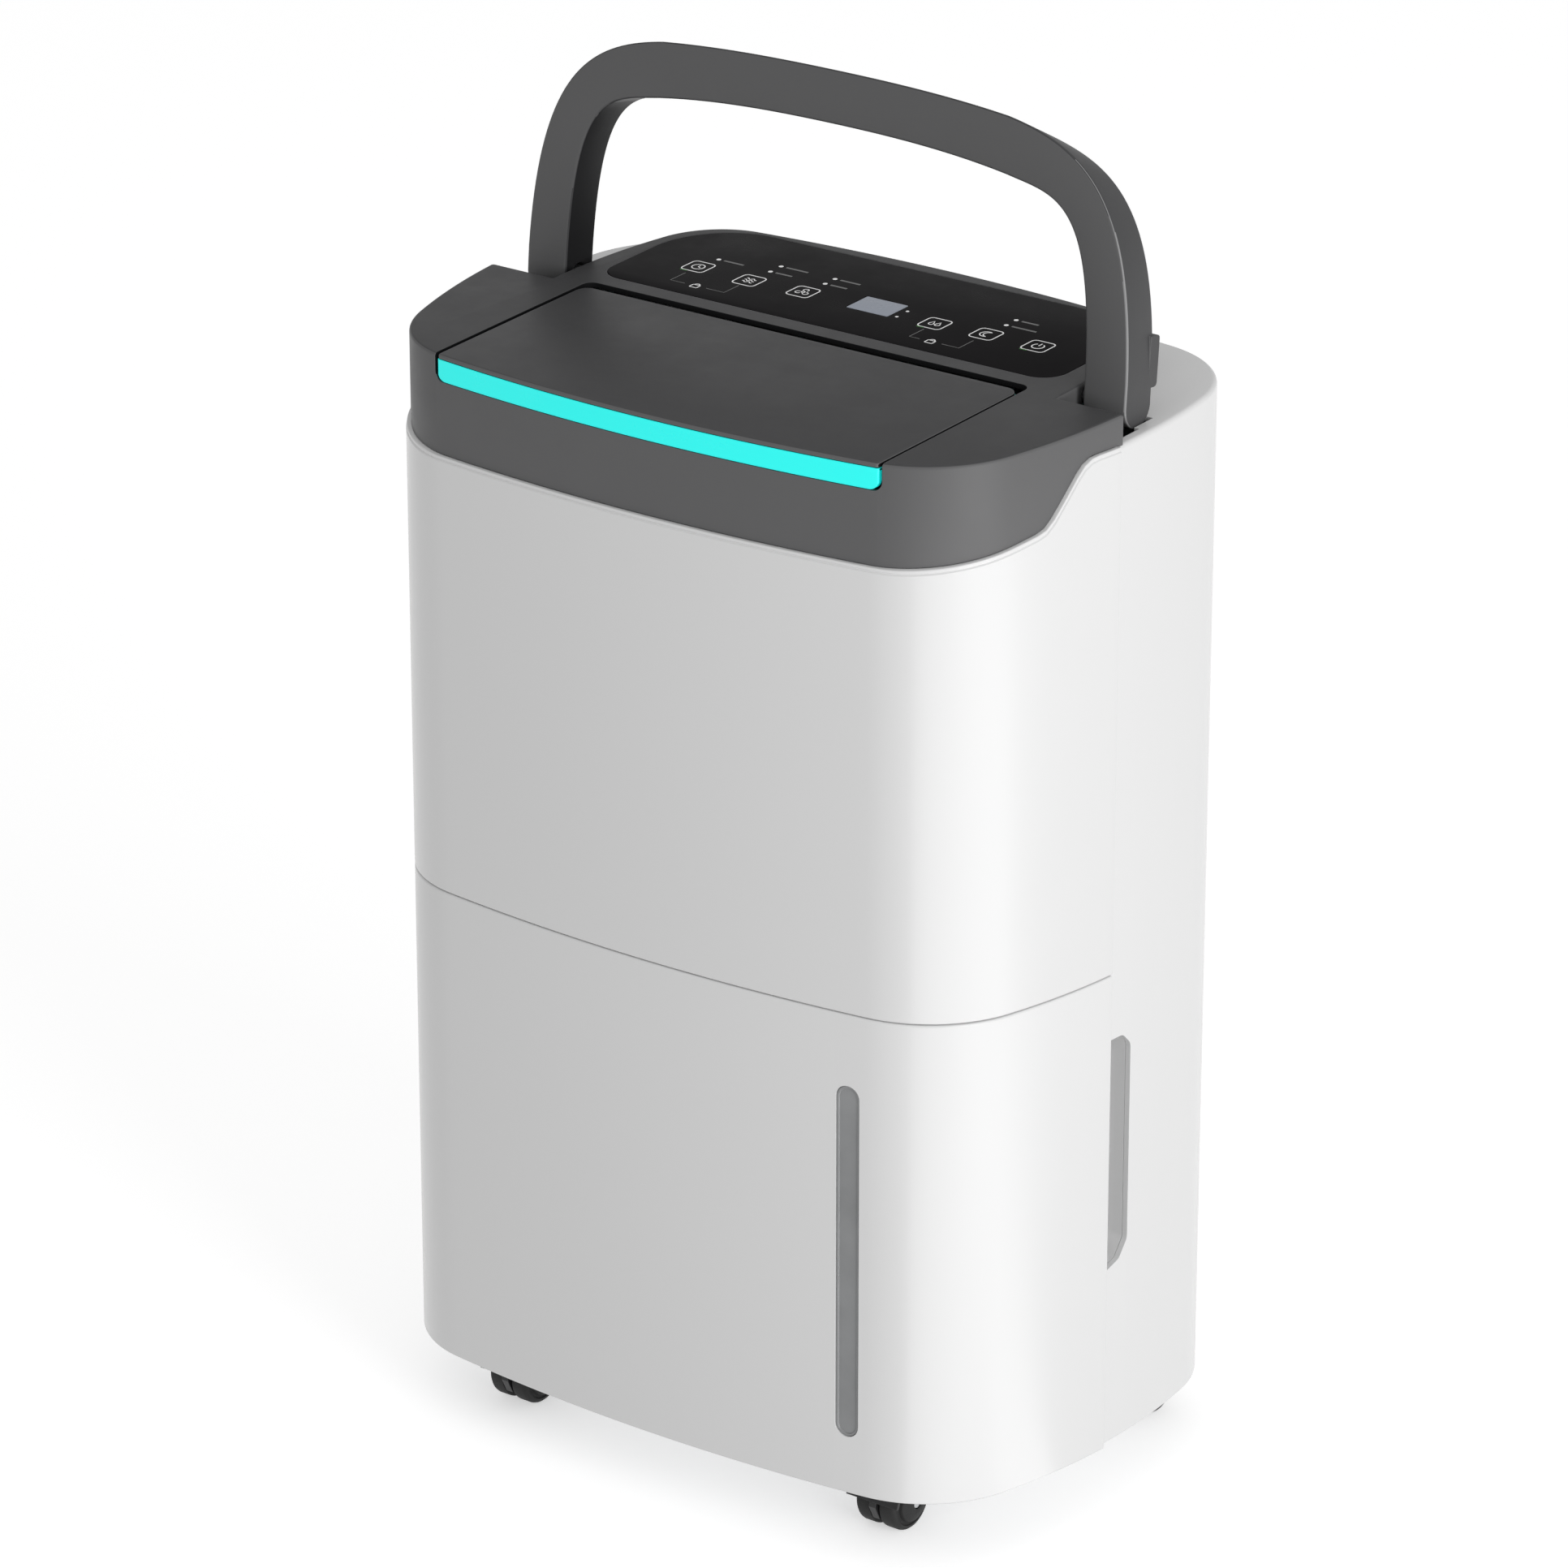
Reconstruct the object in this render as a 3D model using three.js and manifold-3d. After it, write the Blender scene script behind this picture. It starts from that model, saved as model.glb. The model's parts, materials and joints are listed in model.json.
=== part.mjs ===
// Portable compressor dehumidifier with a pull-out water tank, a fold-down carry handle,
// a hinged outlet flap and four swivel casters.
// Millimetres, +Z up, front face towards -Y. Origin on the floor, midway across and FRONT_Y behind the front.
import * as THREE from 'three';
import { mergeVertices } from 'three/addons/utils/BufferGeometryUtils.js';
import Module from 'manifold-3d';

const wasm = await Module();
wasm.setup();

// ---------------------------------------------------------------- driving dimensions
const WIDTH = 350;
const DEPTH = 237;
const WALL = 2.5;
const GAP = 0.3;
const CLEAR = 0.6;
// How far a cutting tool runs past the body it cuts
const OVERRUN = 9;

// Plan of the body: a wide front bow, a rounded corner and a shallow side bow, each an arc
const BOW_RADIUS = 906;
const SIDE_RADIUS = 312;
const CORNER_RADIUS = 56.4;
const REAR_CORNER_RADIUS = 60;
const FRONT_Y = -120;
const BACK_Y = FRONT_Y + DEPTH;
const WIDEST_Y = 14.4;
const REAR_INSET = 3;
const CAP_INSET = 2.2;

// Heights
const SKIRT_Z = 31;
const BASE_Z = 36;
const SEAM_Z = 262;
const RIM_Z = 469;
const SHELF_FRONT_Z = 505.3;
const SHELF_SLOPE = 0.03;
const CAP_FRONT_Z = 515;
const CAP_SLOPE = 0.04;
const PARTING_Y = -9.6;
const WING_BACK_Y = -5.9;

// Lower edge of the dark cap in side view: level round the front, then rising to the shelf
const CAP_EDGE = [[-140, RIM_Z], [-92, RIM_Z], [-53, 478.5], [-48, 481], [-34, 503], [-30, 506],
  [PARTING_Y, 506]];

// Deck that carries the controls
const DECK_HALF = 137.5;
const DECK_SIDE_RADIUS = 258;
const DECK_BACK_Y = 98.2;
const DECK_CORNER = 38;
const DECK_LEDGE = 4;

// Outlet flap
const FLAP_HALF = 119.6;
const FLAP_BACK_Y = -7;
const FLAP_THICK = 2;
const FLAP_CORNER = 6;
const FLAP_OPENING = { half: 120.6, backY: FLAP_BACK_Y + 6, corner: 4.5 };
const STRIP_Z = 503.3;
const STRIP_HALF = 119;
const STRIP_CORNER = 4.5;
const HINGE_Y = -12;
const HINGE_Z = 510;
const HINGE_ROD_R = 1.6;
const HINGE_EYE_R = 3.6;
const KNUCKLES = [[-104, -98], [98, 104]];
const LUGS = [[-112, -105], [105, 112]];

// Carry handle
const HANDLE_PIVOT = { y: 16.8, z: 514.5 };
const HANDLE_LEAN = 5;
const GRIP_FALL = 8;
const HANDLE_THICK = 20;
const HANDLE_TOP = 635.7;
const HANDLE_PIN_R = 4;
const ARM = { inner: 140.5, outer: 162.6, bore: 152.6 };
const REST = { inner: 152, depth: 2.8, z0: 521, z1: 544, chamfer: 2.2 };
const FOOT_WELL = { inner: 138.5, outer: 166.4, midY: 14 };
const WELL_BACK_Y = 27.8;

// Water tank
const TANK_HALF = 152;
const TANK_BACK_Y = -15;
const TANK_FLOOR_Z = 52;
const TANK_TOP_Z = 226;
const WINDOW = { x: 106.8, halfWidth: 5.6, z0: 59, z1: 228 };
const FLOAT_PIVOT = { y: -26, z: 200 };
const SPOUT = { x: 30, y: -52 };
const GRIP_POCKET = { depth: 17, y1: 8, z0: 122, z1: 229, corner: 6 };

// Air path
const FAN = { z: 380, wheelR: 72, inletR: 60, y0: -92, y1: -32 };
const SCROLL = { y0: -98, y1: -24, half: 111, top: 493 };
const INTAKE = { half: 124, z0: 290, z1: 482 };
const COIL = { half: 104, z0: 272, z1: 474 };
const CHASSIS_Z = 250;
const GRILLE = { half: 118.6, y0: -111, y1: -4.5, z0: 494, z1: 502.4 };

// Refrigeration and the openings in the rear wall
const COMPRESSOR = { x: -74, y: 46, radius: 47, z0: 55, z1: 212 };
const ACCUMULATOR = { x: -6, y: 44, radius: 17, z0: 92, z1: 186 };
const DRIER = { x: -125, y: 40, z: 300 };
const PIPE_R = 3.2;
const CORD_INLET = { x: -78, z: 66, radius: 6.6 };
const DRAIN = { x: 84, z: 96, radius: 9 };

// Controls
const OVERLAY = { half: 124, y0: 8.8, y1: 90, front: 12, back: 30, thick: 0.7 };
const DISPLAY = { x0: -5, x1: 18, y0: 34.6, y1: 51.4 };
const KEYS = { y: 40, xs: [-91, -61, -32, 40, 67.5, 95] };

// Casters
const WHEEL_R = 14;
const CASTER_TRAIL = 8;
const CASTERS = {
  front_left: [-105, -84], front_right: [105, -84], rear_left: [-128, 78], rear_right: [128, 78],
};

// ---------------------------------------------------------------- solids
function solid(geometry) {
  const bare = geometry.index ? geometry.toNonIndexed() : geometry.clone();
  bare.deleteAttribute('normal');
  bare.deleteAttribute('uv');
  const merged = mergeVertices(bare, 1e-4);
  return new wasm.Manifold(new wasm.Mesh({
    numProp: 3,
    vertProperties: new Float32Array(merged.attributes.position.array),
    triVerts: new Uint32Array(merged.index.array),
  }));
}

function geometryOf(body) {
  const mesh = body.getMesh();
  const geometry = new THREE.BufferGeometry();
  geometry.setAttribute('position', new THREE.BufferAttribute(mesh.vertProperties, 3));
  geometry.setIndex(new THREE.BufferAttribute(mesh.triVerts, 1));
  return geometry;
}

const join = (first, ...rest) => rest.reduce((body, other) => body.add(other), first);
const cut = (first, ...rest) => rest.reduce((body, other) => body.subtract(other), first);
const common = (first, ...rest) => rest.reduce((body, other) => body.intersect(other), first);

function box(x0, x1, y0, y1, z0, z1) {
  const geometry = new THREE.BoxGeometry(x1 - x0, y1 - y0, z1 - z0);
  geometry.translate((x0 + x1) / 2, (y0 + y1) / 2, (z0 + z1) / 2);
  return solid(geometry);
}

// A box on one side of the middle, given by its distances outwards
function sideBox(side, x0, x1, y0, y1, z0, z1) {
  return side > 0 ? box(x0, x1, y0, y1, z0, z1) : box(-x1, -x0, y0, y1, z0, z1);
}

const shapeOf = (points) => new THREE.Shape(points.map(([u, v]) => new THREE.Vector2(u, v)));

// An outline in plan (x, y), raised from z0 to z1
function raise(points, z0, z1) {
  const geometry = new THREE.ExtrudeGeometry(shapeOf(points), { depth: z1 - z0, bevelEnabled: false });
  return solid(geometry.translate(0, 0, z0));
}

// An outline in side view (y, z), swept across from x0 to x1
function sweepX(points, x0, x1) {
  const geometry = new THREE.ExtrudeGeometry(shapeOf(points), { depth: x1 - x0, bevelEnabled: false });
  const basis = new THREE.Matrix4().makeBasis(
    new THREE.Vector3(0, 1, 0), new THREE.Vector3(0, 0, 1), new THREE.Vector3(1, 0, 0));
  return solid(geometry.applyMatrix4(basis).translate(x0, 0, 0));
}

// An outline in front view (x, z), swept back from y0 to y1
function sweepY(points, y0, y1) {
  const geometry = new THREE.ExtrudeGeometry(shapeOf(points), { depth: y1 - y0, bevelEnabled: false });
  const basis = new THREE.Matrix4().makeBasis(
    new THREE.Vector3(1, 0, 0), new THREE.Vector3(0, 0, 1), new THREE.Vector3(0, -1, 0));
  return solid(geometry.applyMatrix4(basis).translate(0, y1, 0));
}

// A round bar from one end to the other along x, y or z
function rod(axis, centre, radius, from, to, sides = 16) {
  const geometry = new THREE.CylinderGeometry(radius, radius, to - from, sides);
  geometry.translate(0, (from + to) / 2, 0);
  if (axis === 'x') geometry.rotateZ(-Math.PI / 2);
  if (axis === 'z') geometry.rotateX(Math.PI / 2);
  const [u, v] = centre;
  if (axis === 'x') geometry.translate(0, u, v);
  if (axis === 'y') geometry.translate(u, 0, v);
  if (axis === 'z') geometry.translate(u, v, 0);
  return solid(geometry);
}

// A turned body: a profile of (radius, height) points about a vertical axis at (x, y)
function turned(profile, x, y, sides = 24) {
  const geometry = new THREE.LatheGeometry(profile.map(([r, z]) => new THREE.Vector2(r, z)), sides);
  return solid(geometry.rotateX(Math.PI / 2).translate(x, y, 0));
}

// A pipe through a list of points
function pipe(points, radius, steps, sides = 8) {
  const curve = new THREE.CatmullRomCurve3(points.map((p) => new THREE.Vector3(...p)), false, 'centripetal');
  const section = new THREE.Shape();
  for (let i = 0; i < sides; i += 1) {
    const angle = (i / sides) * 2 * Math.PI;
    const method = i === 0 ? 'moveTo' : 'lineTo';
    section[method](radius * Math.cos(angle), radius * Math.sin(angle));
  }
  return solid(new THREE.ExtrudeGeometry(section, { steps, bevelEnabled: false, extrudePath: curve }));
}

// ---------------------------------------------------------------- outlines
const degrees = (angle) => (angle * Math.PI) / 180;

function arc([cx, cy], radius, from, to, steps) {
  return Array.from({ length: steps + 1 }, (_, i) => {
    const angle = from + ((to - from) * i) / steps;
    return [cx + radius * Math.cos(angle), cy + radius * Math.sin(angle)];
  });
}

const mirrored = (points) => points.map(([x, y]) => [-x, y]).reverse();

// Centre of the corner arc that is tangent inside both the end bow and the side bow
function cornerCentre(bowCentre, sideCentre, radius, towards, sideRadius = SIDE_RADIUS) {
  const bowReach = BOW_RADIUS - radius;
  const sideReach = sideRadius - radius;
  const dx = bowCentre[0] - sideCentre[0];
  const dy = bowCentre[1] - sideCentre[1];
  const span = Math.hypot(dx, dy);
  const along = (sideReach ** 2 - bowReach ** 2 + span ** 2) / (2 * span);
  const across = Math.sqrt(sideReach ** 2 - along ** 2);
  const candidates = [1, -1].map((sign) => [
    sideCentre[0] + (along * dx - sign * across * dy) / span,
    sideCentre[1] + (along * dy + sign * across * dx) / span,
  ]).filter(([x]) => x > 0);
  return candidates.sort((a, b) => towards * (b[1] - a[1]))[0];
}

const angleFrom = (a, b) => Math.atan2(b[1] - a[1], b[0] - a[0]);

// The closed plan of the body, moved in by an inset
function plan(inset) {
  const side = [WIDTH / 2 - SIDE_RADIUS, WIDEST_Y];
  const front = [0, FRONT_Y + BOW_RADIUS];
  const back = [0, BACK_Y + REAR_INSET - BOW_RADIUS];
  const frontCorner = cornerCentre(front, side, CORNER_RADIUS, -1);
  const backCorner = cornerCentre(back, side, REAR_CORNER_RADIUS, 1);
  const bowTurn = [angleFrom(front, frontCorner), angleFrom(back, backCorner)];
  const sideTurn = [angleFrom(side, frontCorner), angleFrom(side, backCorner)];
  const partingTurn = Math.asin((PARTING_Y - GAP - WIDEST_Y) / SIDE_RADIUS);
  const right = [
    ...arc(front, BOW_RADIUS - inset, -Math.PI / 2, bowTurn[0], 5).slice(0, -1),
    ...arc(frontCorner, CORNER_RADIUS - inset, bowTurn[0], sideTurn[0], 5).slice(0, -1),
    ...arc(side, SIDE_RADIUS - inset, sideTurn[0], partingTurn, 3).slice(0, -1),
    ...arc(side, SIDE_RADIUS - inset, partingTurn, sideTurn[1], 4).slice(0, -1),
    ...arc(backCorner, REAR_CORNER_RADIUS - inset, sideTurn[1], bowTurn[1], 5).slice(0, -1),
    ...arc(back, BOW_RADIUS - inset, bowTurn[1], Math.PI / 2, 5),
  ];
  return [...right, ...mirrored(right).slice(1, -1)];
}

// A rectangle with four corner radii, listed from the front left round to the back left
function rounded(x0, x1, y0, y1, radii, steps = 3) {
  const [frontLeft, frontRight, backRight, backLeft] = radii;
  return [
    ...arc([x0 + frontLeft, y0 + frontLeft], frontLeft, Math.PI, 1.5 * Math.PI, steps),
    ...arc([x1 - frontRight, y0 + frontRight], frontRight, 1.5 * Math.PI, 2 * Math.PI, steps),
    ...arc([x1 - backRight, y1 - backRight], backRight, 0, Math.PI / 2, steps),
    ...arc([x0 + backLeft, y1 - backLeft], backLeft, Math.PI / 2, Math.PI, steps),
  ];
}

// A band of the body's skin between two insets
const skin = (inset, wall, z0, z1) => cut(raise(plan(inset), z0, z1),
  raise(plan(inset + wall), z0 - 1, z1 + 1));
const beforeY = (y) => box(-WIDTH, WIDTH, -DEPTH, y, 0, HANDLE_TOP);
const behindY = (y) => box(-WIDTH, WIDTH, y, DEPTH, 0, HANDLE_TOP);

// The region above the cap's lower edge, raised by a step
const aboveCapEdge = (lift, backY) => sweepX(
  [...CAP_EDGE.map(([y, z]) => [y, z + lift]), [backY, CAP_EDGE.at(-1)[1] + lift], [backY, HANDLE_TOP],
    [CAP_EDGE[0][0], HANDLE_TOP]], -WIDTH, WIDTH);

// Everything below a plane that slopes up towards the back
const belowSlope = (height) => sweepX(
  [[-DEPTH, 0], [DEPTH, 0], [DEPTH, height(DEPTH)], [-DEPTH, height(-DEPTH)]], -WIDTH, WIDTH);

// The cap's sloping top and the rear shelf
const capTop = (y) => CAP_FRONT_Z + (y - FRONT_Y) * CAP_SLOPE;
const belowTop = (drop) => belowSlope((y) => capTop(y) - drop);
const shelfTop = (y) => SHELF_FRONT_Z + (y - PARTING_Y) * SHELF_SLOPE;
const belowShelf = (drop) => belowSlope((y) => shelfTop(y) - drop);

// ---------------------------------------------------------------- scene
const group = new THREE.Group();

function add(name, body, color, roughness, metalness = 0) {
  const material = new THREE.MeshStandardMaterial({ color, roughness, metalness });
  const mesh = new THREE.Mesh(geometryOf(body), material);
  mesh.name = name;
  group.add(mesh);
}

const WHITE = [0xf0f0ef, 0.28];
const CHARCOAL = [0x4c4c4d, 0.5];
const PALE_GREY = [0xc4c6c8, 0.6];
const BLACK_RUBBER = [0x1c1c1d, 0.8];
const BLACK_PLASTIC = [0x222224, 0.55];
const COPPER = [0xb87a50, 0.35, 1];
const STEEL = [0xb8babd, 0.35, 1];

// ---------------------------------------------------------------- outer shells
// The finger recess behind the tank front, grown outwards on every side
function gripPocket(side, grow) {
  const { depth, y1, z0, z1, corner } = GRIP_POCKET;
  const inner = WIDTH / 2 - REAR_INSET - depth - grow;
  const outer = WIDTH / 2 + OVERRUN;
  const back = y1 + grow;
  const profile = [[PARTING_Y - 1, z0 - corner - grow], [back - corner, z0 - 2 - grow], [back, z0 + corner],
    [back, z1 - corner], [back - corner, z1 + grow], [PARTING_Y - 1, z1 + grow]];
  return side > 0 ? sweepX(profile, inner, outer) : sweepX(profile, -outer, -inner);
}

function frontPanel() {
  const z0 = SEAM_Z + GAP;
  const face = skin(0, WALL, z0, CAP_FRONT_Z);
  const returnLip = skin(WALL - 0.5, 6, z0, z0 + WALL);
  return common(join(face, returnLip), beforeY(PARTING_Y - GAP)).subtract(aboveCapEdge(0, PARTING_Y + 9));
}

function deckOutline(inset) {
  const bow = [0, DECK_BACK_Y - BOW_RADIUS];
  const side = [DECK_HALF - DECK_SIDE_RADIUS, 0];
  const corner = cornerCentre(bow, side, DECK_CORNER, 1, DECK_SIDE_RADIUS);
  const sideEnd = angleFrom(side, corner);
  const bowEnd = angleFrom(bow, corner);
  const right = [[DECK_HALF - inset, WING_BACK_Y - 30],
    ...arc(side, DECK_SIDE_RADIUS - inset, 0, sideEnd, 4),
    ...arc(corner, DECK_CORNER - inset, sideEnd, bowEnd, 6).slice(1),
    ...arc(bow, BOW_RADIUS - inset, bowEnd, Math.PI / 2, 3).slice(1)];
  return [...right, ...mirrored(right).slice(1)];
}

function overlayOutline(grow) {
  const { half, y0, y1, front, back } = OVERLAY;
  const radii = [front, front, back, back].map((radius) => radius + grow);
  return rounded(-half - grow, half + grow, y0 - grow, y1 + grow, radii, 5);
}

// Front view of the cyan strip, with its lower corners rounded
const stripFace = (half, z0, z1) => [[-half, z1],
  ...arc([STRIP_CORNER - half, z0 + STRIP_CORNER], STRIP_CORNER, Math.PI, 1.5 * Math.PI, 4),
  ...arc([half - STRIP_CORNER, z0 + STRIP_CORNER], STRIP_CORNER, 1.5 * Math.PI, 2 * Math.PI, 4), [half, z1]];

function topCover() {
  const z0 = RIM_Z - 20;
  const z1 = HANDLE_TOP;
  const wings = (inset) => common(raise(plan(CAP_INSET + inset), z0 - inset, z1),
    beforeY(WING_BACK_Y - inset));
  const outer = join(wings(0), raise(deckOutline(0), z0, z1));
  const hollow = common(join(wings(WALL), raise(deckOutline(WALL), z0 - 1, z1)), belowTop(WALL));
  const { half, backY, corner } = FLAP_OPENING;
  const floor = STRIP_Z - 0.4;
  const opening = join(
    raise(rounded(-half, half, FRONT_Y + 6, backY, [0.1, 0.1, corner, corner]), floor, z1),
    sweepY(stripFace(half, floor, z1), FRONT_Y - OVERRUN, FRONT_Y + 25));
  const recess = common(raise(overlayOutline(GAP), z0, z1),
    cut(belowTop(-OVERRUN), belowTop(OVERLAY.thick + 0.2)));
  const reach = DECK_HALF + OVERRUN;
  const pins = rod('x', [HANDLE_PIVOT.y, HANDLE_PIVOT.z], HANDLE_PIN_R + GAP, -reach, reach);
  const overShelf = cut(box(-WIDTH, WIDTH, PARTING_Y - 0.1, DEPTH, z0, z1), belowShelf(-GAP));
  const region = join(aboveCapEdge(GAP, PARTING_Y), overShelf);
  return cut(common(cut(outer, hollow), belowTop(0), region), opening, recess, pins);
}

// Distance and turn of the rear wall's outer face at a given x
function rearWall(x) {
  const radius = BOW_RADIUS - REAR_INSET;
  const y = BACK_Y + REAR_INSET - BOW_RADIUS + Math.sqrt(radius ** 2 - x ** 2);
  return { y, turn: Math.asin(x / radius) };
}

function rearHousing() {
  const wallRing = common(skin(REAR_INSET, WALL, SKIRT_Z, HANDLE_TOP), behindY(PARTING_Y));
  const shelf = cut(common(raise(plan(REAR_INSET), SHELF_FRONT_Z - OVERRUN, HANDLE_TOP), behindY(PARTING_Y)),
    belowShelf(WALL), raise(deckOutline(DECK_LEDGE), 0, HANDLE_TOP));
  const windows = [1, -1].map((side) => gripPocket(side, 0));
  const { inner, outer, midY } = FOOT_WELL;
  const wellZ = SHELF_FRONT_Z - OVERRUN;
  const footWells = [1, -1].flatMap((side) => [
    sideBox(side, inner, outer, WING_BACK_Y + GAP, midY, wellZ, HANDLE_TOP),
    sideBox(side, inner, ARM.outer + CLEAR, midY - 1, WELL_BACK_Y, wellZ, HANDLE_TOP)]);
  const intake = box(-INTAKE.half, INTAKE.half, 80, DEPTH, INTAKE.z0, INTAKE.z1);
  const cordHole = rod('y', [CORD_INLET.x, CORD_INLET.z], CORD_INLET.radius + GAP, 80, DEPTH);
  const drainHole = rod('y', [DRAIN.x, DRAIN.z], DRAIN.radius + GAP, 80, DEPTH);
  return cut(common(join(wallRing, shelf), belowShelf(0)), ...windows, ...footWells, intake, cordHole,
    drainHole);
}

// The moulded cup behind each side opening
function gripCup(side) {
  const within = raise(plan(REAR_INSET + WALL + GAP), 0, HANDLE_TOP);
  return cut(common(gripPocket(side, WALL), within, behindY(PARTING_Y)), gripPocket(side, 0));
}

function basePan() {
  const plate = raise(plan(REAR_INSET + WALL + CLEAR), BASE_Z, BASE_Z + WALL);
  const rim = common(skin(REAR_INSET + WALL + CLEAR, WALL, BASE_Z, BASE_Z + 12), behindY(PARTING_Y + 5));
  const sockets = Object.values(CASTERS).map(([x, y]) => rod('z', [x, y], 9, BASE_Z, BASE_Z + 13.5, 10));
  const bores = Object.values(CASTERS).map(([x, y]) => rod('z', [x, y], 4.4, 0, BASE_Z + 11, 10));
  return cut(join(plate, rim, ...sockets), ...bores);
}

// ---------------------------------------------------------------- outlet flap
function outletFlap() {
  const outline = raise(rounded(-FLAP_HALF, FLAP_HALF, FRONT_Y - 30, FLAP_BACK_Y,
    [0.1, 0.1, FLAP_CORNER, FLAP_CORNER]), RIM_Z, HANDLE_TOP);
  const layer = cut(belowTop(0), belowTop(FLAP_THICK));
  return common(outline, raise(plan(CAP_INSET), RIM_Z, HANDLE_TOP), layer);
}

const hingeEye = (x0, x1, z0, z1) => join(rod('x', [HINGE_Y, HINGE_Z], HINGE_EYE_R, x0, x1, 12),
  box(x0, x1, HINGE_Y - 3, HINGE_Y + 3, z0, z1));
const hingeBore = () => rod('x', [HINGE_Y, HINGE_Z], HINGE_ROD_R + GAP, -WIDTH, WIDTH, 10);

function flapLiner() {
  const lift = FLAP_THICK + GAP;
  const outline = raise(rounded(-STRIP_HALF, STRIP_HALF, FRONT_Y - 30, FLAP_BACK_Y + 1,
    [0.1, 0.1, FLAP_CORNER, FLAP_CORNER]), RIM_Z, HANDLE_TOP);
  const layer = cut(belowTop(lift), belowTop(lift + 1.4));
  const plate = common(outline, raise(plan(CAP_INSET), RIM_Z, HANDLE_TOP), layer);
  const strip = common(skin(CAP_INSET, WALL, STRIP_Z, HANDLE_TOP),
    sweepY(stripFace(STRIP_HALF, STRIP_Z, HANDLE_TOP), -DEPTH, -80), belowTop(lift));
  const eyes = KNUCKLES.map(([x0, x1]) => hingeEye(x0, x1, HINGE_Z, capTop(HINGE_Y) - FLAP_THICK - 1));
  return cut(join(plate, strip, ...eyes), hingeBore());
}

function outletGrille() {
  const { half, y0, y1, z0, z1 } = GRILLE;
  const within = (inset) => raise(plan(CAP_INSET + WALL + CLEAR + inset), z0 - 1, HANDLE_TOP);
  const throat = common(box(3 - half, half - 3, y0, y1 - 3, z0 - 1, z1 + 1), within(3));
  const frame = cut(common(box(-half, half, y0 - 9, y1, z0, z1), within(0)), throat);
  const pitch = (y1 - y0 - 6) / 7;
  const slats = Array.from({ length: 6 }, (_, i) => {
    const y = y0 + 3 + pitch * (i + 1);
    return box(1 - half, half - 1, y - 0.9, y + 0.9, z0 + 1, z1 - 1);
  });
  const ribs = [-0.34 * half, 0.34 * half].map((x) => box(x - 1, x + 1, y0 + 1, y1 - 1, z0, z1 - 0.5));
  const ears = LUGS.map(([x0, x1]) => join(hingeEye(x0, x1, z1 - 2, HINGE_Z),
    box(x0, x1, HINGE_Y - 3, y1 - 1, z1 - 2, z1)));
  return cut(join(frame, ...slats, ...ribs, ...ears), hingeBore());
}

// ---------------------------------------------------------------- carry handle
function bezier(points, steps) {
  const curve = new THREE.CubicBezierCurve(...points.map(([x, y]) => new THREE.Vector2(x, y)));
  return curve.getPoints(steps).map((p) => [p.x, p.y]);
}

function handleOutline() {
  const footZ = HANDLE_PIVOT.z - HANDLE_THICK;
  const top = HANDLE_TOP;
  const { inner: in0, outer: out0 } = ARM;
  const outer = [[out0, footZ],
    ...bezier([[out0, top - 109.2], [out0 - 2.4, top - 29.2], [135, top - 10.5], [93, top - 3.8]], 9),
    ...bezier([[93, top - 3.8], [62, top - 0.6], [31, top], [0, top]], 4).slice(1)];
  const inner = [[in0, footZ],
    ...bezier([[in0, top - 113.2], [in0 - 1, top - 31.6], [120, top - 34.6], [94, top - 29.7]], 8),
    ...bezier([[94, top - 29.7], [63, top - 25], [31, top - 24.2], [0, top - 24.2]], 4).slice(1)];
  return [...outer, ...mirrored(outer).slice(1), ...inner.map(([x, z]) => [-x, z]),
    ...inner.slice(0, -1).reverse()];
}

function carryHandle() {
  const { y, z } = HANDLE_PIVOT;
  const half = HANDLE_THICK / 2;
  const side = [...arc([y, z], half, Math.PI, 2 * Math.PI, 10), [y + half, HANDLE_TOP + OVERRUN],
    [y - half, HANDLE_TOP + OVERRUN]];
  const spans = [[DECK_HALF, ARM.bore], [-ARM.bore, -DECK_HALF]];
  const pinHoles = spans.map(([x0, x1]) => rod('x', [y, z], HANDLE_PIN_R + GAP, x0, x1));
  const loop = common(sweepY(handleOutline(), y - half, y + half), sweepX(side, -WIDTH, WIDTH));
  const rests = [[REST.inner, ARM.outer], [-ARM.outer, -REST.inner]].map(([x0, x1]) => sweepX(
    restOutline(y + half), x0, x1));
  const fall = sweepX([[y - half, HANDLE_TOP], [y + half, HANDLE_TOP - GRIP_FALL],
    [y + half + 1, HANDLE_TOP - GRIP_FALL], [y + half + 1, HANDLE_TOP + OVERRUN],
    [y - half, HANDLE_TOP + OVERRUN]], -WIDTH, WIDTH);
  return cut(join(loop, ...rests), fall, ...pinHoles)
    .translate([0, -y, -z]).rotate([-HANDLE_LEAN, 0, 0]).translate([0, y, z]);
}

// Side view of the small rest on the back of each arm
function restOutline(y) {
  const { depth, z0, z1, chamfer } = REST;
  return [[y - 1, z0], [y + depth - chamfer, z0], [y + depth, z0 + chamfer], [y + depth, z1 - chamfer],
    [y + depth - chamfer, z1], [y - 1, z1]];
}

function handlePin(side) {
  const { y, z } = HANDLE_PIVOT;
  const inside = DECK_HALF - WALL - 1.6;
  const shaft = rod('x', [y, z], HANDLE_PIN_R, Math.min(side * (inside - 3), side * (ARM.bore - CLEAR)),
    Math.max(side * (inside - 3), side * (ARM.bore - CLEAR)));
  return join(shaft, sideBox(side, inside - 3, inside, y - 8, y + 8, z - HANDLE_PIN_R, z + 2.5));
}

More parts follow.
